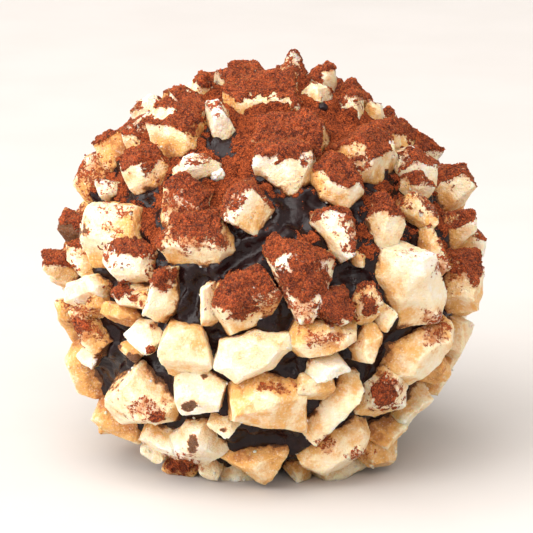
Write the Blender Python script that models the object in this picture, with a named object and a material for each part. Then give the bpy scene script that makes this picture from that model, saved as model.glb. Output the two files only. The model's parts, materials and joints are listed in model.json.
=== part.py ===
"""Chocolate truffle rolled in chopped nuts and dusted with cocoa, as one solid at its real size.

A hand-rolled ball of chocolate carries a coat of chopped nuts. Each nut chip is a small block with a few
chopped facets, sunk into the chocolate, and the whole stands on the flats of the chips underneath.
The frame is in metres with +Z up. The origin is on the table, under the middle of the ball, and the
front of the truffle faces -Y.
"""

import math
import random

import bmesh
import bpy
from mathutils import Matrix, Vector

MM = 0.001

# The ball of chocolate
BALL_RADIUS = 16.4 * MM
BALL_MIDDLE = Vector((0.0, 0.0, 16.1 * MM))
BALL_DETAIL = 3
BALL_FOOT = 1.0 * MM        # height of the flat on which the ball has settled between the chips
ROLLING_LUMPS = 0.008       # the uneven surface that rolling by hand leaves, as a share of the radius
SWELL_REACH = math.radians(32)
# Broad swells and dents of the ball: degrees round from the front, degrees up, share of the radius
SWELLS = [
    (0, 90, -0.035), (103, 40, -0.045), (-107, 48, -0.040), (-96, 17, -0.045), (-71, -48, 0.035),
    (35, -50, 0.020), (80, -25, -0.025), (60, 14, 0.020),
]

# The coat of chopped nuts
COAT_MIDDLE = 17.3 * MM     # how far from the ball's middle a chip's own middle lies
SUNK_SHARE = 0.34           # how much of a chip's thickness is in the chocolate
LEAN = math.radians(14)     # how far chips lie askew
LEAN_STEPS = (2.4, 1.7)     # from chip to chip, how far the lean forward and the lean sideways move on
CHIP_GROWTH = 1.1           # how much broader than laid the chips are, so that the coat closes up
OWN_CUT_START = (0.35, 0.8)     # where on its top each chip's own last cut starts, from middle to edge
OWN_CUT_SLOPE = (28, 58)        # and how steeply it falls, in degrees
FRONT_VIEW_RISE = math.radians(15)      # the front chips are laid out as seen from this far above
OUTERMOST = 0.985           # no laid chip's middle is seen farther out than this share of COAT_MIDDLE
SPREAD_COUNT = 215          # evenly spread places, of which the free ones get a chip
SPREAD_GAP = 3.3 * MM       # a place is free if no laid chip's middle is nearer than this
SPREAD_SEED = 11
FRONT_KEPT = 0.5            # spread chips stay off the front: the largest dot product with its direction
SPREAD_LENGTHS = (3.2, 6.0)     # millimetres, as the next two
SPREAD_WIDTHS = (2.6, 4.4)
SPREAD_THICKNESSES = (3.2, 4.2)
THINNER_ON_TOP = 0.25       # how much thinner the spread chips are on the crown than at the waist
NEAR_POLE = 0.05            # nearer than this to straight up or down, a chip is turned from +X instead

# Chip outlines in plan, from above: x runs along the chip and y across it, and both reach 1.
WEDGE = [(-1.0, 0.6), (0.05, -1.0), (0.35, -0.9), (1.0, 0.75), (-0.75, 1.0)]
BLOCK = [(-0.85, -0.8), (0.35, -1.0), (1.0, -0.45), (0.8, 0.9), (-0.5, 1.0), (-1.0, 0.35)]
SHIELD = [(-1.0, -0.15), (0.1, -1.0), (0.95, -0.3), (1.0, 0.45), (0.7, 1.0), (-0.75, 0.85)]
KITE = [(-1.0, -0.1), (0.25, -1.0), (0.95, -0.15), (0.3, 1.0), (-0.45, 0.75)]
SLAB = [(-1.0, -0.25), (-0.6, -0.95), (0.75, -1.0), (1.0, 0.2), (0.6, 0.95), (-0.7, 0.8)]
SHARD = [(-1.0, -0.9), (-0.1, -1.0), (1.0, 0.35), (0.75, 1.0), (-0.25, 0.7), (-0.95, 0.1)]
NUB = [(-0.9, -0.6), (0.3, -1.0), (1.0, -0.1), (0.45, 1.0), (-0.7, 0.85)]


def rounded_outline(corners, point):
    """An oval of that many corners, drawn out to a point at one end by the share `point`."""
    turns = [math.tau * (i + 0.5) / corners for i in range(corners)]
    return [(math.cos(t), math.sin(t) * (1.0 - point * math.cos(t))) for t in turns]


HALF = rounded_outline(7, 0.35)
DOME = rounded_outline(6, 0.1)

# Rings that build a chip upwards: height and width, each as a share of the whole
CHOPPED = [(1.0, 0.86)]
SKINNED = [(0.66, 0.95), (1.0, 0.56)]

# Chopped facets: the side that each faces, where on the top it starts and how steeply it falls
SHAPES = {
    "wedge": (WEDGE, CHOPPED, [(200, 0.0, 22), (20, 0.35, 38)]),
    "block": (BLOCK, CHOPPED, [(265, 0.0, 34), (35, 0.3, 24)]),
    "shield": (SHIELD, CHOPPED, [(270, -0.05, 38), (80, 0.3, 20)]),
    "kite": (KITE, CHOPPED, [(320, 0.0, 32), (140, 0.25, 24)]),
    "slab": (SLAB, CHOPPED, [(280, 0.1, 30)]),
    "shard": (SHARD, CHOPPED, [(300, -0.1, 36), (120, 0.25, 26)]),
    "nub": (NUB, CHOPPED, [(230, 0.1, 34), (50, 0.25, 30)]),
    "half": (HALF, SKINNED, []),
    "dome": (DOME, SKINNED, []),
}

# The chips on the front, laid by hand: shape, millimetres right of and above the ball's middle as
# seen in the front view, length, width and thickness in millimetres, and turn in degrees.
FRONT_CHIPS = [
    # the crown
    ("nub", 3.0, 17.6, 2.5, 2.3, 5.0, 0), ("nub", 5.3, 16.8, 3.0, 2.8, 4.4, 20),
    ("slab", -0.2, 15.5, 6.4, 4.6, 3.2, 12), ("block", 4.6, 15.1, 2.5, 2.7, 3.0, 0),
    ("block", 7.7, 14.1, 2.3, 2.9, 3.2, 0), ("block", 10.0, 13.6, 2.5, 2.8, 3.2, 10),
    ("slab", 8.2, 15.3, 3.4, 3.6, 3.0, 40), ("nub", 11.6, 11.9, 3.0, 4.0, 3.0, 0),
    ("block", -5.9, 15.9, 2.9, 3.0, 3.6, -40), ("slab", -3.7, 12.8, 3.8, 2.0, 3.6, -55),
    ("dome", -8.4, 15.2, 2.4, 2.4, 3.4, 0), ("slab", -9.9, 14.4, 3.0, 1.9, 4.2, 90),
    ("slab", -10.7, 11.7, 3.4, 2.4, 3.4, 80), ("slab", 2.3, 11.5, 6.2, 4.8, 2.4, -8),
    # the upper shoulder
    ("block", -7.4, 11.5, 4.3, 5.0, 4.4, 15), ("block", -12.8, 10.6, 4.2, 2.0, 4.0, 75),
    ("half", -14.9, 8.5, 4.8, 3.4, 4.0, 70), ("dome", -9.8, 8.4, 4.1, 4.3, 3.9, 0),
    ("half", -5.6, 8.3, 4.2, 2.3, 3.2, 20), ("nub", -13.2, 6.9, 2.2, 2.0, 3.2, 0),
    ("shield", 1.9, 8.6, 5.0, 4.4, 4.2, 0), ("dome", 6.1, 7.3, 4.8, 3.9, 4.0, -60),
    ("shield", 9.0, 9.1, 5.7, 5.6, 3.8, 10), ("half", 12.8, 8.2, 4.9, 3.9, 3.8, -60),
    ("block", 12.6, 6.9, 2.6, 2.8, 4.0, 0), ("dome", 16.5, 7.2, 3.9, 4.0, 5.6, 0),
    ("block", -6.6, 5.2, 4.1, 4.2, 3.8, -10), ("kite", -1.4, 5.1, 4.6, 4.6, 4.0, 12),
    ("wedge", 12.7, 4.3, 3.1, 3.7, 3.8, 0), ("block", 16.3, 3.3, 3.4, 3.6, 4.0, 0),
    # the waist
    ("block", -12.6, 2.7, 5.9, 5.9, 4.0, 10), ("nub", -16.6, 3.4, 3.0, 2.6, 4.0, 0),
    ("block", -5.4, 2.4, 5.7, 5.0, 4.2, 15), ("block", 9.8, 3.6, 2.6, 4.5, 3.8, 0),
    ("wedge", 5.9, 2.7, 3.6, 4.4, 3.8, 0), ("nub", 7.8, 1.0, 1.9, 1.2, 2.0, -50),
    ("shard", 13.5, 1.4, 4.6, 2.1, 3.8, 80), ("slab", 11.9, -1.2, 7.6, 4.6, 4.0, -65),
    ("block", 16.2, -0.9, 5.4, 4.6, 4.8, 75), ("nub", 17.9, -1.3, 2.6, 2.6, 3.6, 0),
    ("wedge", 2.9, -0.9, 5.8, 6.3, 4.0, -10), ("block", -1.6, -2.6, 5.3, 4.6, 4.0, 30),
    ("shard", -4.2, -2.8, 3.8, 1.8, 3.2, 75), ("nub", 5.7, -2.9, 3.4, 3.2, 4.2, 0),
    ("block", 8.1, -3.0, 2.1, 3.5, 3.8, 0), ("nub", 9.7, -3.8, 2.4, 1.4, 3.0, 80),
    ("dome", -10.9, 0.7, 4.9, 3.9, 4.0, 0), ("shard", -8.0, -1.8, 4.8, 2.8, 4.0, 55),
    ("block", -10.9, -2.2, 3.6, 2.5, 3.6, 0), ("nub", -17.4, -0.1, 2.9, 2.7, 5.3, 20),
    ("block", -15.0, 0.7, 3.3, 3.6, 3.8, 0), ("slab", -14.7, -1.8, 5.4, 2.9, 3.4, 20),
    ("nub", -16.8, -3.6, 2.2, 2.1, 3.4, 0), ("nub", -13.6, -2.8, 2.7, 1.9, 3.6, 80),
    ("slab", -11.7, -3.8, 3.5, 2.1, 3.2, 0), ("block", -14.4, -4.9, 4.7, 3.1, 3.8, -55),
    ("block", 16.3, -5.5, 3.6, 3.4, 3.6, 80), ("nub", 17.1, -3.2, 2.4, 2.3, 3.4, 0),
    # under the waist
    ("nub", -9.7, -5.3, 3.2, 2.9, 3.8, 0), ("block", -6.6, -6.9, 4.4, 5.3, 3.8, 5),
    ("half", -0.8, -6.9, 7.0, 3.8, 3.6, 22), ("half", 4.9, -5.3, 6.3, 3.1, 3.6, 8),
    ("block", 8.7, -6.1, 3.6, 3.0, 3.4, 65), ("slab", 5.0, -8.0, 3.3, 2.3, 3.4, 3),
    ("half", 12.9, -6.5, 7.6, 4.3, 4.0, 30), ("nub", 14.3, -8.4, 3.3, 3.1, 3.6, 0),
    ("nub", -14.4, -6.9, 2.3, 2.1, 3.0, 0), ("nub", -11.1, -6.8, 2.3, 1.7, 2.4, 0),
    ("half", -15.4, -8.8, 5.2, 3.0, 3.4, -75), ("block", -9.8, -11.0, 5.9, 6.0, 4.0, 35),
    ("shield", -5.4, -9.7, 4.5, 4.9, 3.6, 180), ("block", 0.3, -11.3, 6.8, 6.2, 4.2, -12),
    ("nub", -3.2, -12.6, 2.8, 2.0, 3.0, 0), ("slab", 4.1, -9.7, 3.6, 2.9, 2.8, -5),
    ("shard", 5.6, -11.4, 7.0, 2.8, 3.6, 48), ("block", 9.9, -10.4, 4.2, 5.2, 3.8, -10),
    ("slab", 12.4, -11.4, 4.3, 2.6, 3.4, 65),
    # the foot
    ("half", 5.9, -14.6, 7.2, 5.0, 3.8, 62), ("slab", 9.9, -13.4, 3.3, 2.0, 3.6, 15),
    ("dome", 10.2, -15.3, 5.0, 3.0, 4.8, 5), ("wedge", -0.7, -15.7, 6.5, 3.7, 3.6, 5),
    ("nub", 2.6, -16.6, 2.2, 2.2, 3.4, 0), ("slab", -2.4, -16.7, 3.2, 2.6, 3.2, 0),
    ("kite", -5.2, -14.2, 5.0, 6.2, 3.8, -15), ("slab", -8.2, -13.6, 4.0, 3.3, 3.2, -40),
    ("block", -12.3, -12.8, 4.8, 3.3, 3.4, -35), ("nub", -8.9, -15.6, 2.6, 2.5, 3.2, 0),
    ("nub", -6.8, -16.4, 3.3, 2.9, 3.6, 0), ("nub", -4.5, -16.1, 2.5, 2.3, 3.2, 0),
]

# Under the ball one broad chip lies flat in the middle, and the truffle rests on it and its neighbours.
SOLE_CHIP = ("slab", 6.4, 5.0, 3.4, 0)

COCOA_SLOPE = 0.45          # a facet is dusted where its normal rises more than this
COCOA_FROM = 13.0 * MM      # and where it lies higher than this


def clear_scene():
    for thing in list(bpy.data.objects):
        bpy.data.objects.remove(thing)


def collection(name):
    made = bpy.data.collections.new(name)
    bpy.context.scene.collection.children.link(made)
    return made


def material(name, colour, roughness):
    made = bpy.data.materials.new(name)
    made.use_nodes = True
    made.diffuse_color = (*colour, 1.0)
    shader = made.node_tree.nodes["Principled BSDF"]
    shader.inputs["Base Color"].default_value = (*colour, 1.0)
    shader.inputs["Roughness"].default_value = roughness
    shader.inputs["Metallic"].default_value = 0.0
    return made


def heading(around, up):
    """The direction that many degrees round from the front, to the right, and up."""
    around, up = math.radians(around), math.radians(up)
    return Vector((math.sin(around) * math.cos(up), -math.cos(around) * math.cos(up), math.sin(up)))


def ball_reach(way):
    """The chocolate's radius in the direction `way`: a ball with broad swells and dents, lumpy all round."""
    lumps = math.sin(5.0 * way.x + 1.3) * math.sin(4.0 * way.y + 0.4)
    lumps += math.sin(6.0 * way.z + 2.0 * way.x)
    share = 1.0 + ROLLING_LUMPS * lumps
    for around, up, swell in SWELLS:
        share += swell * math.exp(-(way.angle(heading(around, up)) / SWELL_REACH) ** 2)
    return BALL_RADIUS * share


def dusted(face, middle_height):
    return face.normal.z > COCOA_SLOPE and middle_height > COCOA_FROM


def chocolate_ball(into, materials):
    """The ball, settled flat underneath, with the cocoa on its upper side."""
    mesh = bpy.data.meshes.new("truffle")
    shape = bmesh.new()
    bmesh.ops.create_icosphere(shape, subdivisions=BALL_DETAIL, radius=1.0)
    for point in shape.verts:
        way = point.co.normalized()
        point.co = BALL_MIDDLE + way * ball_reach(way)
        point.co.z = max(point.co.z, BALL_FOOT)
    shape.normal_update()
    for face in shape.faces:
        face.material_index = 2 if dusted(face, face.calc_center_median().z) else 0
    shape.to_mesh(mesh)
    shape.free()
    ball = bpy.data.objects.new("truffle", mesh)
    for one in materials:
        ball.data.materials.append(one)
    into.objects.link(ball)
    return ball


def way_from_front_view(across, up):
    """The direction from the ball's middle to the place seen that far across and up in the front view."""
    seen = Vector((across * MM, up * MM))
    reach = min(seen.length, COAT_MIDDLE * OUTERMOST)
    seen = seen.normalized() * reach
    toward_viewer = math.sqrt(COAT_MIDDLE**2 - reach**2)
    rise, flat = math.sin(FRONT_VIEW_RISE), math.cos(FRONT_VIEW_RISE)
    return Vector((
        seen.x,
        -(toward_viewer * flat - seen.y * rise),
        seen.y * flat + toward_viewer * rise,
    )).normalized()


def chip_place(way, turn, number):
    """Stands a chip on the ball at `way`, turned in its own plane and lying slightly askew."""
    east = Vector((0.0, 0.0, 1.0)).cross(way)
    east = east.normalized() if east.length > NEAR_POLE else Vector((1.0, 0.0, 0.0))
    north = way.cross(east).normalized()
    upright = Matrix((east, north, way)).transposed()
    forward = Matrix.Rotation(LEAN * math.sin(LEAN_STEPS[0] * number), 3, "X")
    sideways = Matrix.Rotation(LEAN * math.cos(LEAN_STEPS[1] * number), 3, "Y")
    turned = upright @ forward @ sideways @ Matrix.Rotation(math.radians(turn), 3, "Z")
    return Matrix.Translation(BALL_MIDDLE + way * ball_reach(way)) @ turned.to_4x4()


def chop(shape, toward, start, slope):
    """Takes off what is outside a plane that starts `start` out on the top and falls at `slope` degrees."""
    side = Vector((math.cos(math.radians(toward)), math.sin(math.radians(toward)), 0.0))
    fall = math.radians(slope)
    cut = bmesh.ops.bisect_plane(
        shape,
        geom=shape.verts[:] + shape.edges[:] + shape.faces[:],
        plane_co=side * start + Vector((0.0, 0.0, 1.0)),
        plane_no=side * math.sin(fall) + Vector((0.0, 0.0, math.cos(fall))),
        clear_outer=True,
    )
    rim = [part for part in cut["geom_cut"] if isinstance(part, bmesh.types.BMEdge)]
    bmesh.ops.edgeloop_fill(shape, edges=rim)


def chip_shape(shape_name):
    """One chip in unit size: its outline raised in rings to its top, then chopped."""
    outline, rings, facets = SHAPES[shape_name]
    shape = bmesh.new()
    bmesh.ops.create_circle(shape, cap_ends=True, segments=len(outline), radius=1.0)
    shape.verts.ensure_lookup_table()
    around = sorted(shape.verts, key=lambda point: math.atan2(point.co.y, point.co.x) % math.tau)
    corners = sorted(outline, key=lambda corner: math.atan2(corner[1], corner[0]) % math.tau)
    for point, (x, y) in zip(around, corners):
        point.co = Vector((x, y, 0.0))
    cap = shape.faces[:]
    for step, (height, width) in enumerate(rings):
        raised = bmesh.ops.extrude_face_region(shape, geom=cap)["geom"]
        if step > 0:
            bmesh.ops.delete(shape, geom=cap, context="FACES_ONLY")
        points = [part for part in raised if isinstance(part, bmesh.types.BMVert)]
        cap = [part for part in raised if isinstance(part, bmesh.types.BMFace)]
        points.sort(key=lambda point: math.atan2(point.co.y, point.co.x) % math.tau)
        for point, (x, y) in zip(points, corners):
            point.co = Vector((x * width, y * width, height))
    bmesh.ops.recalc_face_normals(shape, faces=shape.faces[:])
    for facet in facets:
        chop(shape, *facet)
    bmesh.ops.recalc_face_normals(shape, faces=shape.faces[:])
    return shape


def nut_chip(into, materials, number, shape_name, way, size, turn):
    length, width, thick = (value * MM for value in size)
    draw = random.Random(number)
    shape = chip_shape(shape_name)
    chop(shape, draw.uniform(0.0, 360.0), draw.uniform(*OWN_CUT_START), draw.uniform(*OWN_CUT_SLOPE))
    fit = Matrix.Diagonal((length / 2 * CHIP_GROWTH, width / 2 * CHIP_GROWTH, thick, 1.0))
    sink = Matrix.Translation((0.0, 0.0, -thick * SUNK_SHARE))
    bmesh.ops.transform(shape, matrix=chip_place(way, turn, number) @ sink @ fit, verts=shape.verts[:])
    shape.normal_update()
    for face in shape.faces:
        face.material_index = 2 if dusted(face, face.calc_center_median().z) else 1
    mesh = bpy.data.meshes.new(f"chip_{number:03d}")
    shape.to_mesh(mesh)
    shape.free()
    chip = bpy.data.objects.new(mesh.name, mesh)
    for one in materials:
        chip.data.materials.append(one)
    chip.hide_render = True
    chip.display_type = "WIRE"
    into.objects.link(chip)


def spread_places(taken):
    """Evenly spread directions over the ball that keep clear of the laid chips."""
    golden = math.pi * (3.0 - math.sqrt(5.0))
    for i in range(SPREAD_COUNT):
        height = 1.0 - 2.0 * (i + 0.5) / SPREAD_COUNT
        ring = math.sqrt(1.0 - height * height)
        way = Vector((ring * math.cos(golden * i), ring * math.sin(golden * i), height))
        free = all((way - other).length * COAT_MIDDLE > SPREAD_GAP for other in taken)
        if free and way.dot(heading(0, math.degrees(FRONT_VIEW_RISE))) < FRONT_KEPT:
            yield way


def coat_chips():
    """Every chip of the coat as its shape, direction from the ball's middle, size in millimetres and turn."""
    chips = []
    for name, across, up, length, width, thick, turn in FRONT_CHIPS:
        chips.append((name, way_from_front_view(across, up), (length, width, thick), turn))
    name, length, width, thick, turn = SOLE_CHIP
    chips.append((name, Vector((0.0, 0.0, -1.0)), (length, width, thick), turn))
    draw = random.Random(SPREAD_SEED)
    names = sorted(SHAPES)
    for way in list(spread_places([chip[1] for chip in chips])):
        thick = draw.uniform(*SPREAD_THICKNESSES) * (1.0 - THINNER_ON_TOP * max(0.0, way.z))
        size = (draw.uniform(*SPREAD_LENGTHS), draw.uniform(*SPREAD_WIDTHS), thick)
        chips.append((draw.choice(names), way, size, draw.uniform(0.0, 360.0)))
    return chips


def table_cutter(into):
    """Everything below the table top, to press the lowest chips flat."""
    reach = 4 * BALL_RADIUS
    bpy.ops.mesh.primitive_cube_add(size=reach, location=(0.0, 0.0, -reach / 2))
    cutter = bpy.context.active_object
    cutter.name = "table_cutter"
    cutter.data.transform(cutter.matrix_world)
    cutter.matrix_world = Matrix.Identity(4)
    cutter.hide_render = True
    cutter.display_type = "WIRE"
    for home in list(cutter.users_collection):
        home.objects.unlink(cutter)
    into.objects.link(cutter)
    return cutter


def join_coat(ball, chips, cutter):
    coat = ball.modifiers.new("nut_coat", "BOOLEAN")
    coat.operation = "UNION"
    coat.operand_type = "COLLECTION"
    coat.collection = chips
    coat.solver = "EXACT"
    coat.material_mode = "TRANSFER"
    flat = ball.modifiers.new("table", "BOOLEAN")
    flat.operation = "DIFFERENCE"
    flat.object = cutter
    flat.solver = "EXACT"
    flat.material_mode = "TRANSFER"


def main():
    clear_scene()
    part = collection("chocolate_truffle")
    chips = collection("nut_chips")
    cutters = collection("cutters")
    materials = [
        material("dark_chocolate", (0.030, 0.016, 0.012), 0.3),
        material("chopped_nut", (0.86, 0.66, 0.40), 0.5),
        material("cocoa_powder", (0.29, 0.075, 0.030), 0.95),
    ]
    ball = chocolate_ball(part, materials)
    for number, chip in enumerate(coat_chips()):
        nut_chip(chips, materials, number, *chip)
    join_coat(ball, chips, table_cutter(cutters))


main()
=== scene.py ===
"""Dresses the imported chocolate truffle: dark chocolate, chopped nuts, cocoa powder and a plain stage."""

import json
import math
import random

import bpy
import numpy as np
from mathutils import Matrix, Vector
from mathutils.bvhtree import BVHTree

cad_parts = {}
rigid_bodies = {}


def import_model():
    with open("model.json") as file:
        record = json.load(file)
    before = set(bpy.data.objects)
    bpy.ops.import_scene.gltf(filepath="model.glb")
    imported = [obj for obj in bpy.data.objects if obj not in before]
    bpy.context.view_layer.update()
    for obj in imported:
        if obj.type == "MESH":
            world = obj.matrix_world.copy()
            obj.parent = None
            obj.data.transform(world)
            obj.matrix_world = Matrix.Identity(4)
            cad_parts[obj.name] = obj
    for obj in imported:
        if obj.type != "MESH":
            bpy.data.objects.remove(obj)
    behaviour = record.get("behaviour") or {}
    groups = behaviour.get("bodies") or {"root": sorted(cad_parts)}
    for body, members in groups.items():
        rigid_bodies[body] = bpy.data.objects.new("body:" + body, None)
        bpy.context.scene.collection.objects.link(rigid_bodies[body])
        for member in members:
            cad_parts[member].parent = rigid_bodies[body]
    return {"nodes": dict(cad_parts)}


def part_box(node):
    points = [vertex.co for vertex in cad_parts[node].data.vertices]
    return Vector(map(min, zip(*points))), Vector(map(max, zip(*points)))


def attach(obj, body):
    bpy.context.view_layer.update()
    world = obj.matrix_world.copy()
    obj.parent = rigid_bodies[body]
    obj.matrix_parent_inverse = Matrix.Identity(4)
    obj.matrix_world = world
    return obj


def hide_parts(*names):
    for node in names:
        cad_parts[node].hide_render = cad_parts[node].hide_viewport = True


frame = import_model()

bl_info = {
    "name": "Nut-coated chocolate truffle",
    "version": (1, 0, 0),
    "blender": (4, 5, 0),
    "location": "3D View > Sidebar > Truffle",
    "description": "Models a chocolate truffle rolled in chopped nuts and dusted with cocoa",
    "category": "Add Mesh",
}

MM = 0.001
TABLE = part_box("truffle")[0].z

# ---------------------------------------------------------------------------------------------
# The coat's plan, the same as the solid's
# ---------------------------------------------------------------------------------------------

BALL_RADIUS = 16.4 * MM
BALL_MIDDLE = Vector((0.0, 0.0, 16.1 * MM))
BALL_FOOT = 1.0 * MM
ROLLING_LUMPS = 0.008
SWELL_REACH = math.radians(32)
# Broad swells and dents of the ball: degrees round from the front, degrees up, share of the radius
SWELLS = [
    (0, 90, -0.035), (103, 40, -0.045), (-107, 48, -0.040), (-96, 17, -0.045), (-71, -48, 0.035),
    (35, -50, 0.020), (80, -25, -0.025), (60, 14, 0.020),
]

COAT_MIDDLE = 17.3 * MM
SUNK_SHARE = 0.34           # how much of a chip's thickness lies in the chocolate
LEAN = math.radians(14)
LEAN_STEPS = (2.4, 1.7)
CHIP_GROWTH = 1.1
OWN_CUT_START = (0.35, 0.8)
OWN_CUT_SLOPE = (28, 58)
FRONT_VIEW_RISE = math.radians(15)
OUTERMOST = 0.985
SPREAD_COUNT = 215
SPREAD_GAP = 3.3 * MM
SPREAD_SEED = 11
FRONT_KEPT = 0.5            # no spread chips within this cosine of the front view's middle
SPREAD_LENGTHS = (3.2, 6.0)
SPREAD_WIDTHS = (2.6, 4.4)
SPREAD_THICKNESSES = (3.2, 4.2)
THINNER_ON_TOP = 0.25
NEAR_POLE = 0.05

# What the solid's chips don't have: splinters chopped off them, roast and cocoa
SPLINTER_START = (0.72, 0.98)
SPLINTER_SLOPE = (35, 75)
SOLE_ROAST = 0.4
SPREAD_ROASTS = (0.05, 0.15, 0.2, 0.3, 0.45, 0.6, 0.75)
SPREAD_DUST = (0.5, 1.3)
DUST_DOWN_TO = -0.1         # no cocoa on spread chips that face down more than this

# Chip outlines in plan, from above: x runs along the chip and y across it, and both reach 1.
WEDGE = [(-1.0, 0.6), (0.05, -1.0), (0.35, -0.9), (1.0, 0.75), (-0.75, 1.0)]
BLOCK = [(-0.85, -0.8), (0.35, -1.0), (1.0, -0.45), (0.8, 0.9), (-0.5, 1.0), (-1.0, 0.35)]
SHIELD = [(-1.0, -0.15), (0.1, -1.0), (0.95, -0.3), (1.0, 0.45), (0.7, 1.0), (-0.75, 0.85)]
KITE = [(-1.0, -0.1), (0.25, -1.0), (0.95, -0.15), (0.3, 1.0), (-0.45, 0.75)]
SLAB = [(-1.0, -0.25), (-0.6, -0.95), (0.75, -1.0), (1.0, 0.2), (0.6, 0.95), (-0.7, 0.8)]
SHARD = [(-1.0, -0.9), (-0.1, -1.0), (1.0, 0.35), (0.75, 1.0), (-0.25, 0.7), (-0.95, 0.1)]
NUB = [(-0.9, -0.6), (0.3, -1.0), (1.0, -0.1), (0.45, 1.0), (-0.7, 0.85)]


def rounded_outline(corners, point):
    """An oval of that many corners, drawn out to a point at one end by the share `point`."""
    turns = [math.tau * (i + 0.5) / corners for i in range(corners)]
    return [(math.cos(t), math.sin(t) * (1.0 - point * math.cos(t))) for t in turns]


HALF = rounded_outline(7, 0.35)
DOME = rounded_outline(6, 0.1)

# Rings that a chip's sides run through: height and width, each as a share of the whole
CHOPPED = [(1.0, 0.86)]
SKINNED = [(0.66, 0.95), (1.0, 0.56)]

# Chopped facets: the side that each faces, where on the top it starts and how steeply it falls
SHAPES = {
    "wedge": (WEDGE, CHOPPED, [(200, 0.0, 22), (20, 0.35, 38)]),
    "block": (BLOCK, CHOPPED, [(265, 0.0, 34), (35, 0.3, 24)]),
    "shield": (SHIELD, CHOPPED, [(270, -0.05, 38), (80, 0.3, 20)]),
    "kite": (KITE, CHOPPED, [(320, 0.0, 32), (140, 0.25, 24)]),
    "slab": (SLAB, CHOPPED, [(280, 0.1, 30)]),
    "shard": (SHARD, CHOPPED, [(300, -0.1, 36), (120, 0.25, 26)]),
    "nub": (NUB, CHOPPED, [(230, 0.1, 34), (50, 0.25, 30)]),
    "half": (HALF, SKINNED, []),
    "dome": (DOME, SKINNED, []),
}

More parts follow.
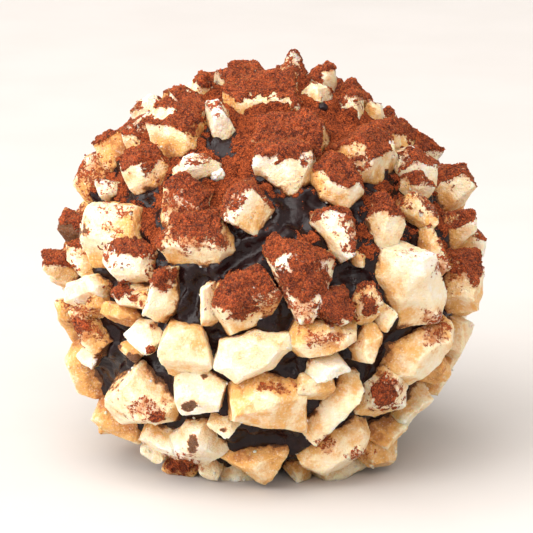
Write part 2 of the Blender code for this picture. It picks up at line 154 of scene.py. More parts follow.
# The chips on the front: shape, millimetres right of and above the ball's middle as
# seen in the front view, length, width and thickness in millimetres, turn in degrees, and then how
# roasted the chip is and how much cocoa lies on it, both from 0 to about 1.
FRONT_CHIPS = [
    # the crown
    ("nub", 3.0, 17.6, 2.5, 2.3, 5.0, 0, 0.2, 0.6), ("nub", 5.3, 16.8, 3.0, 2.8, 4.4, 20, 0.3, 1.1),
    ("slab", -0.2, 15.5, 6.4, 4.6, 3.2, 12, 0.3, 1.1), ("block", 4.6, 15.1, 2.5, 2.7, 3.0, 0, 0.1, 1.0),
    ("block", 7.7, 14.1, 2.3, 2.9, 3.2, 0, 0.15, 0.9), ("block", 10.0, 13.6, 2.5, 2.8, 3.2, 10, 0.25, 0.9),
    ("slab", 8.2, 15.3, 3.4, 3.6, 3.0, 40, 0.4, 1.2), ("nub", 11.6, 11.9, 3.0, 4.0, 3.0, 0, 0.4, 1.2),
    ("block", -5.9, 15.9, 2.9, 3.0, 3.6, -40, 0.2, 1.0), ("slab", -3.7, 12.8, 3.8, 2.0, 3.6, -55, 0.05, 0.3),
    ("dome", -8.4, 15.2, 2.4, 2.4, 3.4, 0, 0.6, 0.6), ("slab", -9.9, 14.4, 3.0, 1.9, 4.2, 90, 0.2, 0.5),
    ("slab", -10.7, 11.7, 3.4, 2.4, 3.4, 80, 0.5, 0.7), ("slab", 2.3, 11.5, 6.2, 4.8, 2.4, -8, 0.4, 1.4),
    # the upper shoulder
    ("block", -7.4, 11.5, 4.3, 5.0, 4.4, 15, 0.45, 1.0), ("block", -12.8, 10.6, 4.2, 2.0, 4.0, 75, 0.7, 0.9),
    ("half", -14.9, 8.5, 4.8, 3.4, 4.0, 70, 0.6, 0.5), ("dome", -9.8, 8.4, 4.1, 4.3, 3.9, 0, 0.25, 0.9),
    ("half", -5.6, 8.3, 4.2, 2.3, 3.2, 20, 0.1, 0.4), ("nub", -13.2, 6.9, 2.2, 2.0, 3.2, 0, 0.0, 0.3),
    ("shield", 1.9, 8.6, 5.0, 4.4, 4.2, 0, 0.1, 0.9), ("dome", 6.1, 7.3, 4.8, 3.9, 4.0, -60, 0.3, 1.3),
    ("shield", 9.0, 9.1, 5.7, 5.6, 3.8, 10, 0.3, 1.4), ("half", 12.8, 8.2, 4.9, 3.9, 3.8, -60, 0.15, 0.6),
    ("block", 12.6, 6.9, 2.6, 2.8, 4.0, 0, 0.3, 0.7), ("dome", 16.5, 7.2, 3.9, 4.0, 5.6, 0, 0.35, 0.7),
    ("block", -6.6, 5.2, 4.1, 4.2, 3.8, -10, 0.35, 0.7), ("kite", -1.4, 5.1, 4.6, 4.6, 4.0, 12, 0.15, 0.7),
    ("wedge", 12.7, 4.3, 3.1, 3.7, 3.8, 0, 0.6, 0.5), ("block", 16.3, 3.3, 3.4, 3.6, 4.0, 0, 0.4, 0.6),
    # the waist
    ("block", -12.6, 2.7, 5.9, 5.9, 4.0, 10, 0.45, 0.2), ("nub", -16.6, 3.4, 3.0, 2.6, 4.0, 0, 0.9, 0.6),
    ("block", -5.4, 2.4, 5.7, 5.0, 4.2, 15, 0.4, 0.8), ("block", 9.8, 3.6, 2.6, 4.5, 3.8, 0, 0.2, 1.0),
    ("wedge", 5.9, 2.7, 3.6, 4.4, 3.8, 0, 0.05, 0.8), ("nub", 7.8, 1.0, 1.9, 1.2, 2.0, -50, 0.2, 0.4),
    ("shard", 13.5, 1.4, 4.6, 2.1, 3.8, 80, 0.4, 0.5), ("slab", 11.9, -1.2, 7.6, 4.6, 4.0, -65, 0.15, 0.15),
    ("block", 16.2, -0.9, 5.4, 4.6, 4.8, 75, 0.55, 0.9), ("nub", 17.9, -1.3, 2.6, 2.6, 3.6, 0, 0.6, 0.5),
    ("wedge", 2.9, -0.9, 5.8, 6.3, 4.0, -10, 0.15, 1.5), ("block", -1.6, -2.6, 5.3, 4.6, 4.0, 30, 0.35, 1.2),
    ("shard", -4.2, -2.8, 3.8, 1.8, 3.2, 75, 0.25, 0.1), ("nub", 5.7, -2.9, 3.4, 3.2, 4.2, 0, 0.4, 1.4),
    ("block", 8.1, -3.0, 2.1, 3.5, 3.8, 0, 0.5, 0.8), ("nub", 9.7, -3.8, 2.4, 1.4, 3.0, 80, 0.3, 0.2),
    ("dome", -10.9, 0.7, 4.9, 3.9, 4.0, 0, 0.3, 0.5), ("shard", -8.0, -1.8, 4.8, 2.8, 4.0, 55, 0.1, 0.6),
    ("block", -10.9, -2.2, 3.6, 2.5, 3.6, 0, 0.2, 0.8), ("nub", -17.4, -0.1, 2.9, 2.7, 5.3, 20, 0.5, 1.4),
    ("block", -15.0, 0.7, 3.3, 3.6, 3.8, 0, 0.5, 1.2), ("slab", -14.7, -1.8, 5.4, 2.9, 3.4, 20, 0.2, 0.2),
    ("nub", -16.8, -3.6, 2.2, 2.1, 3.4, 0, 0.8, 0.8), ("nub", -13.6, -2.8, 2.7, 1.9, 3.6, 80, 0.7, 1.1),
    ("slab", -11.7, -3.8, 3.5, 2.1, 3.2, 0, 0.7, 0.1), ("block", -14.4, -4.9, 4.7, 3.1, 3.8, -55, 0.7, 0.8),
    ("block", 16.3, -5.5, 3.6, 3.4, 3.6, 80, 0.15, 0.0), ("nub", 17.1, -3.2, 2.4, 2.3, 3.4, 0, 0.5, 0.0),
    # under the waist
    ("nub", -9.7, -5.3, 3.2, 2.9, 3.8, 0, 0.1, 0.0), ("block", -6.6, -6.9, 4.4, 5.3, 3.8, 5, 0.25, 0.0),
    ("half", -0.8, -6.9, 7.0, 3.8, 3.6, 22, 0.15, 0.0), ("half", 4.9, -5.3, 6.3, 3.1, 3.6, 8, 0.6, 0.2),
    ("block", 8.7, -6.1, 3.6, 3.0, 3.4, 65, 0.6, 0.0), ("slab", 5.0, -8.0, 3.3, 2.3, 3.4, 3, 0.05, 0.0),
    ("half", 12.9, -6.5, 7.6, 4.3, 4.0, 30, 0.45, 0.0), ("nub", 14.3, -8.4, 3.3, 3.1, 3.6, 0, 0.7, 0.0),
    ("nub", -14.4, -6.9, 2.3, 2.1, 3.0, 0, 0.0, 0.0), ("nub", -11.1, -6.8, 2.3, 1.7, 2.4, 0, 0.6, 0.0),
    ("half", -15.4, -8.8, 5.2, 3.0, 3.4, -75, 0.75, 0.0), ("block", -9.8, -11.0, 5.9, 6.0, 4.0, 35, 0.3, 0.0),
    ("shield", -5.4, -9.7, 4.5, 4.9, 3.6, 180, 0.05, 0.0),
    ("block", 0.3, -11.3, 6.8, 6.2, 4.2, -12, 0.65, 0.0),
    ("nub", -3.2, -12.6, 2.8, 2.0, 3.0, 0, 0.1, 0.0), ("slab", 4.1, -9.7, 3.6, 2.9, 2.8, -5, 0.5, 0.0),
    ("shard", 5.6, -11.4, 7.0, 2.8, 3.6, 48, 0.2, 0.0), ("block", 9.9, -10.4, 4.2, 5.2, 3.8, -10, 0.2, 0.0),
    ("slab", 12.4, -11.4, 4.3, 2.6, 3.4, 65, 0.3, 0.0),
    # the foot
    ("half", 5.9, -14.6, 7.2, 5.0, 3.8, 62, 0.45, 0.0), ("slab", 9.9, -13.4, 3.3, 2.0, 3.6, 15, 0.8, 0.0),
    ("dome", 10.2, -15.3, 5.0, 3.0, 4.8, 5, 0.75, 0.0), ("wedge", -0.7, -15.7, 6.5, 3.7, 3.6, 5, 0.65, 0.0),
    ("nub", 2.6, -16.6, 2.2, 2.2, 3.4, 0, 0.4, 0.0), ("slab", -2.4, -16.7, 3.2, 2.6, 3.2, 0, 0.2, 0.0),
    ("kite", -5.2, -14.2, 5.0, 6.2, 3.8, -15, 0.05, 0.0),
    ("slab", -8.2, -13.6, 4.0, 3.3, 3.2, -40, 0.15, 0.0),
    ("block", -12.3, -12.8, 4.8, 3.3, 3.4, -35, 0.7, 0.0), ("nub", -8.9, -15.6, 2.6, 2.5, 3.2, 0, 0.15, 0.0),
    ("nub", -6.8, -16.4, 3.3, 2.9, 3.6, 0, 0.9, 0.5), ("nub", -4.5, -16.1, 2.5, 2.3, 3.2, 0, 0.3, 0.0),
]
SOLE_CHIP = ("slab", 6.4, 5.0, 3.4, 0)

# Marks, each an oval: millimetres right of and above the ball's middle as seen in the front
# view, and length and height in millimetres. These are smudges of chocolate on the nuts.
CHOCOLATE_SMUDGES = [
    (-6.1, -11.2, 1.2, 0.9), (-5.0, -8.8, 0.6, 0.5), (-9.4, -6.5, 0.6, 0.4), (-5.9, -14.4, 0.9, 1.5),
    (-3.4, -13.2, 0.6, 0.4), (-16.6, 3.4, 3.6, 3.2), (-11.1, -7.3, 2.4, 1.0), (-12.9, -7.9, 2.6, 4.2),
]
# Dabs of cocoa on the nuts
COCOA_DABS = [
    (10.0, -10.2, 2.2, 2.6), (-6.9, -16.6, 2.6, 1.6), (-9.0, -12.2, 1.5, 0.8), (3.3, -0.8, 4.4, 3.6),
    (5.7, -2.9, 3.4, 3.0), (-2.2, -2.2, 3.8, 3.0), (-11.9, -1.6, 2.2, 1.1), (-15.3, -4.6, 1.5, 1.5),
    (-10.6, 1.9, 4.6, 1.5), (-5.6, 3.9, 5.0, 2.4), (-8.3, -0.6, 2.2, 2.0), (-9.4, -6.5, 0.7, 0.6),
    (8.6, -3.0, 1.2, 1.6), (1.9, 9.8, 4.8, 1.8),
]
# Nuts rubbed with cocoa
COCOA_RUBS = [
    (-9.6, -11.5, 3.6, 2.4), (10.0, -10.0, 3.0, 3.6), (-6.9, -16.4, 3.4, 2.4), (8.0, -15.6, 2.4, 1.2),
    (-14.7, 8.2, 2.9, 4.4), (-14.9, -4.6, 3.0, 3.6), (-5.6, 3.0, 6.0, 3.4), (-6.6, 5.6, 4.2, 3.2),
    (0.6, -2.0, 4.6, 3.4), (3.2, -2.6, 3.0, 3.6), (4.9, -5.6, 4.0, 1.4), (1.2, -9.6, 3.4, 1.2),
    (14.2, -4.8, 2.2, 3.4), (15.6, 0.2, 3.2, 2.4), (5.2, -14.6, 1.6, 2.0), (-9.0, -4.6, 1.4, 0.8),
]
# Sides of nuts left bare under the cocoa
COCOA_BARE = [
    (0.3, 13.8, 4.8, 1.7), (4.2, 15.3, 2.4, 1.4), (5.6, 16.2, 1.5, 1.5), (7.2, 13.3, 2.2, 1.2),
    (9.4, 13.4, 2.2, 1.6), (-6.1, 15.7, 1.4, 1.7), (-8.7, 13.1, 2.4, 1.2), (-7.1, 10.2, 3.4, 2.4),
    (11.4, 10.6, 2.0, 1.6), (-9.8, 14.6, 1.4, 1.6),
]
# Chocolate between the nuts that the cocoa missed
COCOA_MISSED = [
    (-3.6, 11.0, 3.0, 4.4), (1.7, 4.2, 4.6, 4.4), (-1.4, 1.0, 3.6, 4.4), (7.4, -0.4, 3.2, 2.6),
    (-6.4, -2.6, 2.6, 5.0), (3.6, 4.6, 3.0, 4.0), (-9.6, 7.4, 2.4, 2.4),
]
# Stray bits: name, millimetres right of and above the ball's middle as seen in the front view, how far the
# bit stands out, its width and its unevenness in millimetres, and its material, which is its slot too
STRAY_BITS = [
    ("chocolate_drop", 4.9, 13.6, 0.6, 1.0, 0.1, "dark_chocolate"),
    ("stray_nut_bit", -3.8, 7.8, 0.1, 1.0, 0.9, "chopped_nut"),
]

# ---------------------------------------------------------------------------------------------
# The chocolate, the broken faces, the stains and painted shade, and the cocoa, in metres where it is a length
# ---------------------------------------------------------------------------------------------

CROWN_FILL = 0.35 * MM              # how much higher the chocolate stands between the chips on the crown
CROWN_RISE = (0.75, 0.97)           # how far up the ball the crown's fill starts and is whole
CLIMB_REACH = 0.9                   # the chocolate climbs a chip within this cosine of its middle
CLIMB_PATCHES = 2.4 * MM
CLIMB_SETTLED = 0.35                # share of the climb by which the ball lies lower elsewhere
CHOCOLATE_LUMPS = 2.6 * MM

SCALLOP_WIDTH = 2.2 * MM
SWELL_WIDTH = 2.2 * MM
CRUMBLE_WIDTH = 0.5 * MM
PIT_WIDTH = 0.28 * MM
GRID_DEPTH = 6                      # the chips' remesh has 2 to this power cells along
SOFTENED = 0.2
EDGE_STEPS = 5                      # how many levels of sharpness the crumbling tells apart
EDGE_ROUNDS = 4
EDGE_SHARPNESS = (0.1, 0.9)
TRIANGLES_KEPT = 0.44
CRUMBS_PER_AREA = 0.8e5             # to the square metre of nut
CRUMB_SIZES = ((0.4, 0.35, 0.3), (1.3, 1.1, 1.0))

# A chip turns more roasted low on its sides, within this height of the chocolate and by this much: partly
# chocolate oil soaked into the nut, partly painted warm shade
SOAKED_AND_SHADED_HEIGHT = (0.5 * MM, 2.8 * MM)
SOAKED_AND_SHADED_ROAST = 0.55
# How high above the chocolate the rim of smeared chocolate and painted shade reaches
RIM_HEIGHT = (0.1 * MM, 1.15 * MM)
# Ragged edges, each a few uneven patches: how far they reach and how wide they are
RIM_RAGGEDNESS = ((0.35 * MM, 2.4 * MM), (0.15 * MM, 0.9 * MM))
MARK_RAGGEDNESS = ((0.45, 1.1 * MM), (0.25, 0.45 * MM))
MARK_EDGE = (0.6, 1.3)              # where a laid mark starts to fade and where it ends, as a share of it

# Cocoa falls straight down and a little from each side. Its way is followed up from just off the surface.
FALLING_WAYS = ((0, 0, 1), (0.35, 0, 1), (-0.35, 0, 1), (0, -0.35, 1), (0, 0.35, 1))
FALL_CLEARS = 0.3 * MM
FALL_STARTS = 0.25 * MM
FALL_LENGTH = 30 * MM
COCOA_PATCHES = ((0.35, 2.4 * MM), (0.3, 1.0 * MM))
COCOA_LEVELS = 20                   # how many thicknesses of cocoa the piling tells apart
COCOA_SLOPES = (0.2, 0.62)          # how far a face has to look up to hold some cocoa, and all of it
COCOA_HEIGHTS = (-0.35, 0.15)       # where on the ball, in radii above its middle, it starts and is whole
DAB_AMOUNT = 0.75
RUB_AMOUNT = 0.7
FILM_AMOUNT = 0.55
FILM_SLOPES = (-0.3, 0.7)
FILM_HEIGHTS = (-0.5, 0.3)
FILM_PATCHES = ((0.2, 1.6 * MM),)
FILM_ROUNDS = 8                     # how far the film spreads round the cocoa that lies
MOUND_WIDTH = 1.1 * MM
DRIFT_WIDTH = 0.4 * MM

GRAINS_PER_AREA = 2.6e7             # to the square metre of whole cocoa
CLUMPS_PER_AREA = 3.0e6
GRAIN_SIZES = ((0.5, 0.5, 0.4), (1.4, 1.3, 1.1))
GRAIN_HEIGHT = 0.7                  # share of its width
THICK_FIRST = 1.6                   # grains crowd where the cocoa is thick, by this power

# ---------------------------------------------------------------------------------------------
# The stage
# ---------------------------------------------------------------------------------------------

CAMERA_FAR = 0.32
CAMERA_LENS = 251.0
VIEW_RIGHT = 0.22 * MM
VIEW_UP = 0.30 * MM
SKY = (1.0, 0.97, 0.94, 1.0)
SKY_STRENGTH = 0.6
# Lights: name, place in metres, width in metres, watts and colour
SOFTBOXES = [
    ("key_light", (-0.34, -0.12, 0.70), 1.1, 7.4, (1.0, 0.975, 0.945)),
    ("fill_light", (-0.04, -0.54, 0.66), 0.8, 6.2, (1.0, 0.97, 0.95)),
    ("left_card", (-0.60, -0.30, 0.26), 0.6, 5.0, (1.0, 0.97, 0.95)),
    ("right_card", (0.55, -0.20, 0.24), 0.8, 0.9, (1.0, 0.96, 0.93)),
]
PAPER = (0.540, 0.513, 0.490, 1.0)
PAPER_LIGHTER = (0.560, 0.533, 0.511, 1.0)


class Chip:
    """One nut chip of the coat: its shape, where it sits, its size in metres and its finish."""

    def __init__(self, number, shape, way, size, turn, roast, dust):
        self.number = number
        self.shape = shape
        self.way = way
        self.length, self.width, self.thick = (value * MM for value in size)
        self.length *= CHIP_GROWTH
        self.width *= CHIP_GROWTH
        self.turn = turn
        self.roast = roast
        self.dust = dust

    def place(self):
        """Carries the unit shape to its place on the ball, at its size, lying slightly askew."""
        east = Vector((0.0, 0.0, 1.0)).cross(self.way)
        east = east.normalized() if east.length > NEAR_POLE else Vector((1.0, 0.0, 0.0))
        north = self.way.cross(east).normalized()
        upright = Matrix((east, north, self.way)).transposed()
        forward = Matrix.Rotation(LEAN * math.sin(LEAN_STEPS[0] * self.number), 3, "X")
        sideways = Matrix.Rotation(LEAN * math.cos(LEAN_STEPS[1] * self.number), 3, "Y")
        turned = upright @ forward @ sideways @ Matrix.Rotation(math.radians(self.turn), 3, "Z")
        seat = Matrix.Translation(BALL_MIDDLE + self.way * reach_toward(self.way)) @ turned.to_4x4()
        sink = Matrix.Translation((0.0, 0.0, -self.thick * SUNK_SHARE))
        return seat @ sink @ Matrix.Diagonal((self.length / 2, self.width / 2, self.thick, 1.0))


def heading(around, up):
    """The direction that many degrees round from the front, to the right, and up."""
    around, up = math.radians(around), math.radians(up)
    return Vector((math.sin(around) * math.cos(up), -math.cos(around) * math.cos(up), math.sin(up)))


def ball_reach(ways):
    """The chocolate's radius in each of an array of directions, with its swells, dents and lumps."""
    x, y, z = ways.T
    lumps = np.sin(5.0 * x + 1.3) * np.sin(4.0 * y + 0.4) + np.sin(6.0 * z + 2.0 * x)
    share = 1.0 + ROLLING_LUMPS * lumps
    for around, up, swell in SWELLS:
        apart = np.arccos(np.clip(ways @ np.array(heading(around, up)), -1.0, 1.0))
        share += swell * np.exp(-((apart / SWELL_REACH) ** 2))
    return BALL_RADIUS * share


def reach_toward(way):
    return float(ball_reach(np.array([way]))[0])


def way_from_front_view(across, up):
    """The direction from the ball's middle to the place seen that far across and up in the front view."""
    seen = Vector((across * MM, up * MM))
    reach = min(seen.length, COAT_MIDDLE * OUTERMOST)
    seen = seen.normalized() * reach
    toward_viewer = math.sqrt(COAT_MIDDLE**2 - reach**2)
    rise, flat = math.sin(FRONT_VIEW_RISE), math.cos(FRONT_VIEW_RISE)
    return Vector((
        seen.x,
        -(toward_viewer * flat - seen.y * rise),
        seen.y * flat + toward_viewer * rise,
    )).normalized()


def spread_places(taken):
    """Evenly spread directions over the ball that keep clear of the laid chips."""
    golden = math.pi * (3.0 - math.sqrt(5.0))
    for i in range(SPREAD_COUNT):
        height = 1.0 - 2.0 * (i + 0.5) / SPREAD_COUNT
        ring = math.sqrt(1.0 - height * height)
        way = Vector((ring * math.cos(golden * i), ring * math.sin(golden * i), height))
        free = all((way - other).length * COAT_MIDDLE > SPREAD_GAP for other in taken)
        if free and way.dot(heading(0, math.degrees(FRONT_VIEW_RISE))) < FRONT_KEPT:
            yield way


def coat_chips():
    """Every chip of the coat: the listed front, the sole and the mixed chips everywhere else."""
    chips = []
    for name, across, up, length, width, thick, turn, roast, dust in FRONT_CHIPS:
        way = way_from_front_view(across, up)
        chips.append(Chip(len(chips), name, way, (length, width, thick), turn, roast, dust))
    name, length, width, thick, turn = SOLE_CHIP
    down = Vector((0.0, 0.0, -1.0))
    chips.append(Chip(len(chips), name, down, (length, width, thick), turn, SOLE_ROAST, 0.0))
    draw = random.Random(SPREAD_SEED)
    finish = random.Random(SPREAD_SEED + 1)
    names = sorted(SHAPES)
    for way in list(spread_places([chip.way for chip in chips])):
        thick = draw.uniform(*SPREAD_THICKNESSES) * (1.0 - THINNER_ON_TOP * max(0.0, way.z))
        size = (draw.uniform(*SPREAD_LENGTHS), draw.uniform(*SPREAD_WIDTHS), thick)
        name, turn = draw.choice(names), draw.uniform(0.0, 360.0)
        roast = finish.choice(SPREAD_ROASTS)
        dust = finish.uniform(*SPREAD_DUST) if way.z > DUST_DOWN_TO else 0.0
        chips.append(Chip(len(chips), name, way, size, turn, roast, dust))
    return chips


# ---------------------------------------------------------------------------------------------
# Settings
# ---------------------------------------------------------------------------------------------


def colour_property(name, description, default):
    return bpy.props.FloatVectorProperty(
        name=name, description=description, default=default, size=3, min=0.0, max=1.0, subtype="COLOR"
    )


def length_property(name, description, default):
    return bpy.props.FloatProperty(
        name=name,
        description=description,
        default=default,
        min=0.0,
        subtype="DISTANCE",
        unit="LENGTH",
        precision=5,
    )


class TruffleNutSettings(bpy.types.PropertyGroup):
    """Sizes and colours of the nut chips."""

    front_grid: length_property("Front grid", "Mesh spacing of the chips on the front", 0.12 * MM)
    back_grid: length_property("Back grid", "Mesh spacing of the other chips", 0.2 * MM)
    splinters: bpy.props.IntProperty(
        name="Splinters", description="Small pieces chopped off each chip", default=4
    )
    scallops: length_property("Scallops", "Depth of the shallow hollows where a nut broke", 0.33 * MM)
    swell: length_property("Swell", "How far the broken faces bulge and dip", 0.26 * MM)
    crumble: length_property("Crumble", "How far the edges have crumbled away", 0.24 * MM)
    pits: length_property("Pits", "Depth of the small pits in the broken faces", 0.09 * MM)
    root_depth: length_property("Root depth", "How far a chip reaches down into the chocolate", 0.9 * MM)
    crumb_size: length_property("Crumb size", "Width of a nut crumb", 0.36 * MM)
    cream: colour_property("Cream", "Freshly broken nut", (0.96, 0.895, 0.785))
    butter: colour_property("Butter", "Lightly roasted nut", (0.91, 0.75, 0.495))
    golden: colour_property("Golden", "Roasted nut", (0.78, 0.41, 0.12))
    toasted: colour_property("Toasted", "Darkest roasted spots", (0.46, 0.17, 0.045))
    rubbed: colour_property("Rubbed", "Nut with a film of cocoa rubbed into it", (0.52, 0.145, 0.026))


class TruffleChocolateSettings(bpy.types.PropertyGroup):
    """Sizes and colour of the chocolate."""

    meniscus: length_property("Meniscus", "How far the chocolate climbs a chip", 0.75 * MM)
    meniscus_width: length_property("Meniscus width", "How far the climb reaches from a chip", 0.55 * MM)
    waves: length_property("Waves", "Height of the waves left by rolling", 0.8 * MM)
    colour: colour_property("Colour", "Dark chocolate", (0.0085, 0.0026, 0.0028))


class TruffleCocoaSettings(bpy.types.PropertyGroup):
    """Amount and colour of the cocoa powder."""

    thickness: length_property("Thickness", "Depth of the cocoa where it lies thickest", 0.26 * MM)
    mounds: length_property("Mounds", "Height of the mounds that the cocoa lies in", 0.5 * MM)
    grain_size: length_property("Grain size", "Width of a loose cocoa grain", 0.13 * MM)
    clump_size: length_property("Clump size", "Width of a small clump of cocoa", 0.26 * MM)
    # Light is the cocoa's colour on lit grain tops and dark its painted shade between the grains; the tone
    # between them also differs at random
    light: colour_property("Light", "Cocoa where it is loose and catches the light", (0.62, 0.126, 0.031))
    dark: colour_property("Dark", "Cocoa between its grains", (0.08, 0.0120, 0.0038))


# ---------------------------------------------------------------------------------------------
# Modelling helpers
# ---------------------------------------------------------------------------------------------


def deselect_all():
    for thing in list(bpy.context.view_layer.objects.selected):
        thing.select_set(False)


def select_only(thing):
    deselect_all()
    thing.select_set(True)
    bpy.context.view_layer.objects.active = thing


def start_editing(thing):
    select_only(thing)
    bpy.ops.object.mode_set(mode="EDIT")
    bpy.ops.mesh.select_all(action="SELECT")


def stop_editing():
    bpy.ops.object.mode_set(mode="OBJECT")


def cut_away(point, outward):
    """In edit mode, takes off what lies beyond a plane and closes the cut."""
    bpy.ops.mesh.select_all(action="SELECT")
    bpy.ops.mesh.bisect(plane_co=point, plane_no=outward, use_fill=True, clear_outer=True)


def apply_modifiers(thing):
    select_only(thing)
    for modifier in list(thing.modifiers):
        bpy.ops.object.modifier_apply(modifier=modifier.name)


def join_as(name, things):
    """Joins the objects into one with that name."""
    deselect_all()
    for thing in things:
        thing.select_set(True)
    bpy.context.view_layer.objects.active = things[0]
    if len(things) > 1:
        bpy.ops.object.join()
    joined = bpy.context.view_layer.objects.active
    joined.name = name
    joined.data.name = name
    return joined


def clouds(name, size, depth=2):
    """A soft lumpy texture for Displace, with lumps that many metres wide."""
    made = bpy.data.textures.new(name, "CLOUDS")
    made.noise_scale = size
    made.noise_depth = depth
    return made


def displace(thing, texture, strength, group="", still=0.5):
    """Adds a Displace modifier that leaves the surface in place where the texture's value is `still`."""
    modifier = thing.modifiers.new(texture.name, "DISPLACE")
    modifier.texture = texture
    modifier.texture_coords = "LOCAL"
    modifier.strength = strength
    modifier.mid_level = still
    modifier.vertex_group = group


def points_of(mesh):
    values = np.empty(len(mesh.vertices) * 3)
    mesh.vertices.foreach_get("co", values)
    return values.reshape(-1, 3)


def normals_of(mesh):
    values = np.empty(len(mesh.vertices) * 3)
    mesh.vertex_normals.foreach_get("vector", values)
    return values.reshape(-1, 3)


def set_points(mesh, points):
    mesh.vertices.foreach_set("co", points.ravel())
    mesh.update()


def set_attribute(mesh, name, values):
    """Writes one number for each point, for the materials to read."""
    layer = mesh.attributes.get(name) or mesh.attributes.new(name, "FLOAT", "POINT")
    layer.data.foreach_set("value", np.broadcast_to(values, len(mesh.vertices)).astype(np.float32))


def get_attribute(mesh, name):
    values = np.empty(len(mesh.vertices), dtype=np.float32)
    mesh.attributes[name].data.foreach_get("value", values)
    return values


def group_by_level(piece, name, values, levels):
    """A vertex group that weighs each point by its value, rounded to that many levels."""
    group = piece.vertex_groups.new(name=name)
    rounded = np.round(values * levels).astype(int)
    for level in range(1, levels + 1):
        group.add(np.flatnonzero(rounded == level).tolist(), level / levels, "REPLACE")


def smooth_step(low, high, values):
    """Runs smoothly from 0 where the values are low to 1 where they are high."""
    share = np.clip((values - low) / (high - low), 0.0, 1.0)
    return share * share * (3.0 - 2.0 * share)


def front_view_of(points):
    """How far right of and above the ball's middle the front view sees the points, and if they face it."""
    away = points - np.array(BALL_MIDDLE)
    rise, flat = math.sin(FRONT_VIEW_RISE), math.cos(FRONT_VIEW_RISE)
    return away[:, 0], away[:, 1] * rise + away[:, 2] * flat, away[:, 2] * rise - away[:, 1] * flat > 0.0


def uneven(points, width):
    """Wanders between -1 and 1 from place to place, in patches about that many metres wide."""
    x, y, z = points.T * (math.pi / width)
    broad = np.sin(x + 1.7 * np.sin(0.8 * y)) * np.sin(y + 1.3 * np.sin(0.9 * z) + 1.0)
    broad = broad * np.sin(z + 1.1 * np.sin(x) + 2.0)
    fine = np.sin(2.3 * x + 2.1 * np.sin(1.7 * z)) * np.sin(2.6 * y + 1.9 * np.sin(2.1 * x))
    fine = fine * np.sin(2.4 * z + 0.5)
    return broad + 0.6 * fine


def wandering(points, waves):
    """Sums uneven patches, given as (height, width)."""
    return sum(height * uneven(points, width) for height, width in waves)


def marks_on(points, marks):
    """How strongly the listed marks, each a ragged oval in the front view, cover the points."""
    across, up, facing = front_view_of(points)
    ragged = wandering(points, MARK_RAGGEDNESS)
    cover = np.zeros(len(points))
    for right, above, length, height in marks:
        apart = np.hypot((across / MM - right) / (length / 2), (up / MM - above) / (height / 2))
        cover = np.maximum(cover, 1.0 - smooth_step(*MARK_EDGE, apart + ragged))
    return cover * facing


# ---------------------------------------------------------------------------------------------
# Shader helpers
# ---------------------------------------------------------------------------------------------


def add_node(tree, kind, inputs=(), **settings):
    """Adds a node, sets its settings, and sets or links its inputs, given as (name or number, value)."""
    made = tree.nodes.new(kind)
    for name, value in settings.items():
        setattr(made, name, value)
    for name, value in inputs:
        if isinstance(value, bpy.types.NodeSocket):
            tree.links.new(value, made.inputs[name])
        else:
            made.inputs[name].default_value = value
    return made


def maths(tree, operation, first, second, third=0.0):
    return add_node(
        tree, "ShaderNodeMath", [(0, first), (1, second), (2, third)], operation=operation
    ).outputs[0]


def mix_colours(tree, share, first, second):
    made = add_node(tree, "ShaderNodeMix", data_type="RGBA")
    for socket, value in zip((made.inputs["Factor"], made.inputs[6], made.inputs[7]), (share, first, second)):
        if isinstance(value, bpy.types.NodeSocket):
            tree.links.new(value, socket)
        else:
            socket.default_value = value
    return made.outputs[2]


def noise(tree, place, scale, detail, roughness=0.5):
    return add_node(
        tree,
        "ShaderNodeTexNoise",
        [("Vector", place), ("Scale", scale), ("Detail", detail), ("Roughness", roughness)],
    ).outputs["Fac"]


def ramp(tree, value, low, high):
    """Runs smoothly from 0 where value is low to 1 where it is high."""
    return add_node(
        tree,
        "ShaderNodeMapRange",
        [("Value", value), ("From Min", low), ("From Max", high)],
        interpolation_type="SMOOTHSTEP",
    ).outputs["Result"]


def opaque(colour):
    return (*colour, 1.0)


def new_group(name, inputs, outputs):
    """An empty shader group with named sockets, and its input and output nodes."""
    group = bpy.data.node_groups.new(name, "ShaderNodeTree")
    for label, kind, default in inputs:
        socket = group.interface.new_socket(name=label, in_out="INPUT", socket_type=kind)
        socket.default_value = default
    for label, kind in outputs:
        group.interface.new_socket(name=label, in_out="OUTPUT", socket_type=kind)
    return group, group.nodes.new("NodeGroupInput"), group.nodes.new("NodeGroupOutput")


def patchy(tree, place, width, detail=4.0, roughness=0.6):
    """Noise in patches about that many metres wide, stretched to run from 0 to 1."""
    return ramp(tree, noise(tree, place, 1.0 / width, detail, roughness), 0.3, 0.7)


def granules(tree, place, width):
    """Small rounded grains about that wide: how high each stands, and a tone of its own from 0 to 1."""
    cells_of_grains = add_node(tree, "ShaderNodeTexVoronoi", [("Vector", place), ("Scale", 1.0 / width)])
    height = ramp(tree, cells_of_grains.outputs["Distance"], 0.75, 0.05)
    return height, maths(tree, "MULTIPLY", cells_of_grains.outputs["Color"], 1.0)


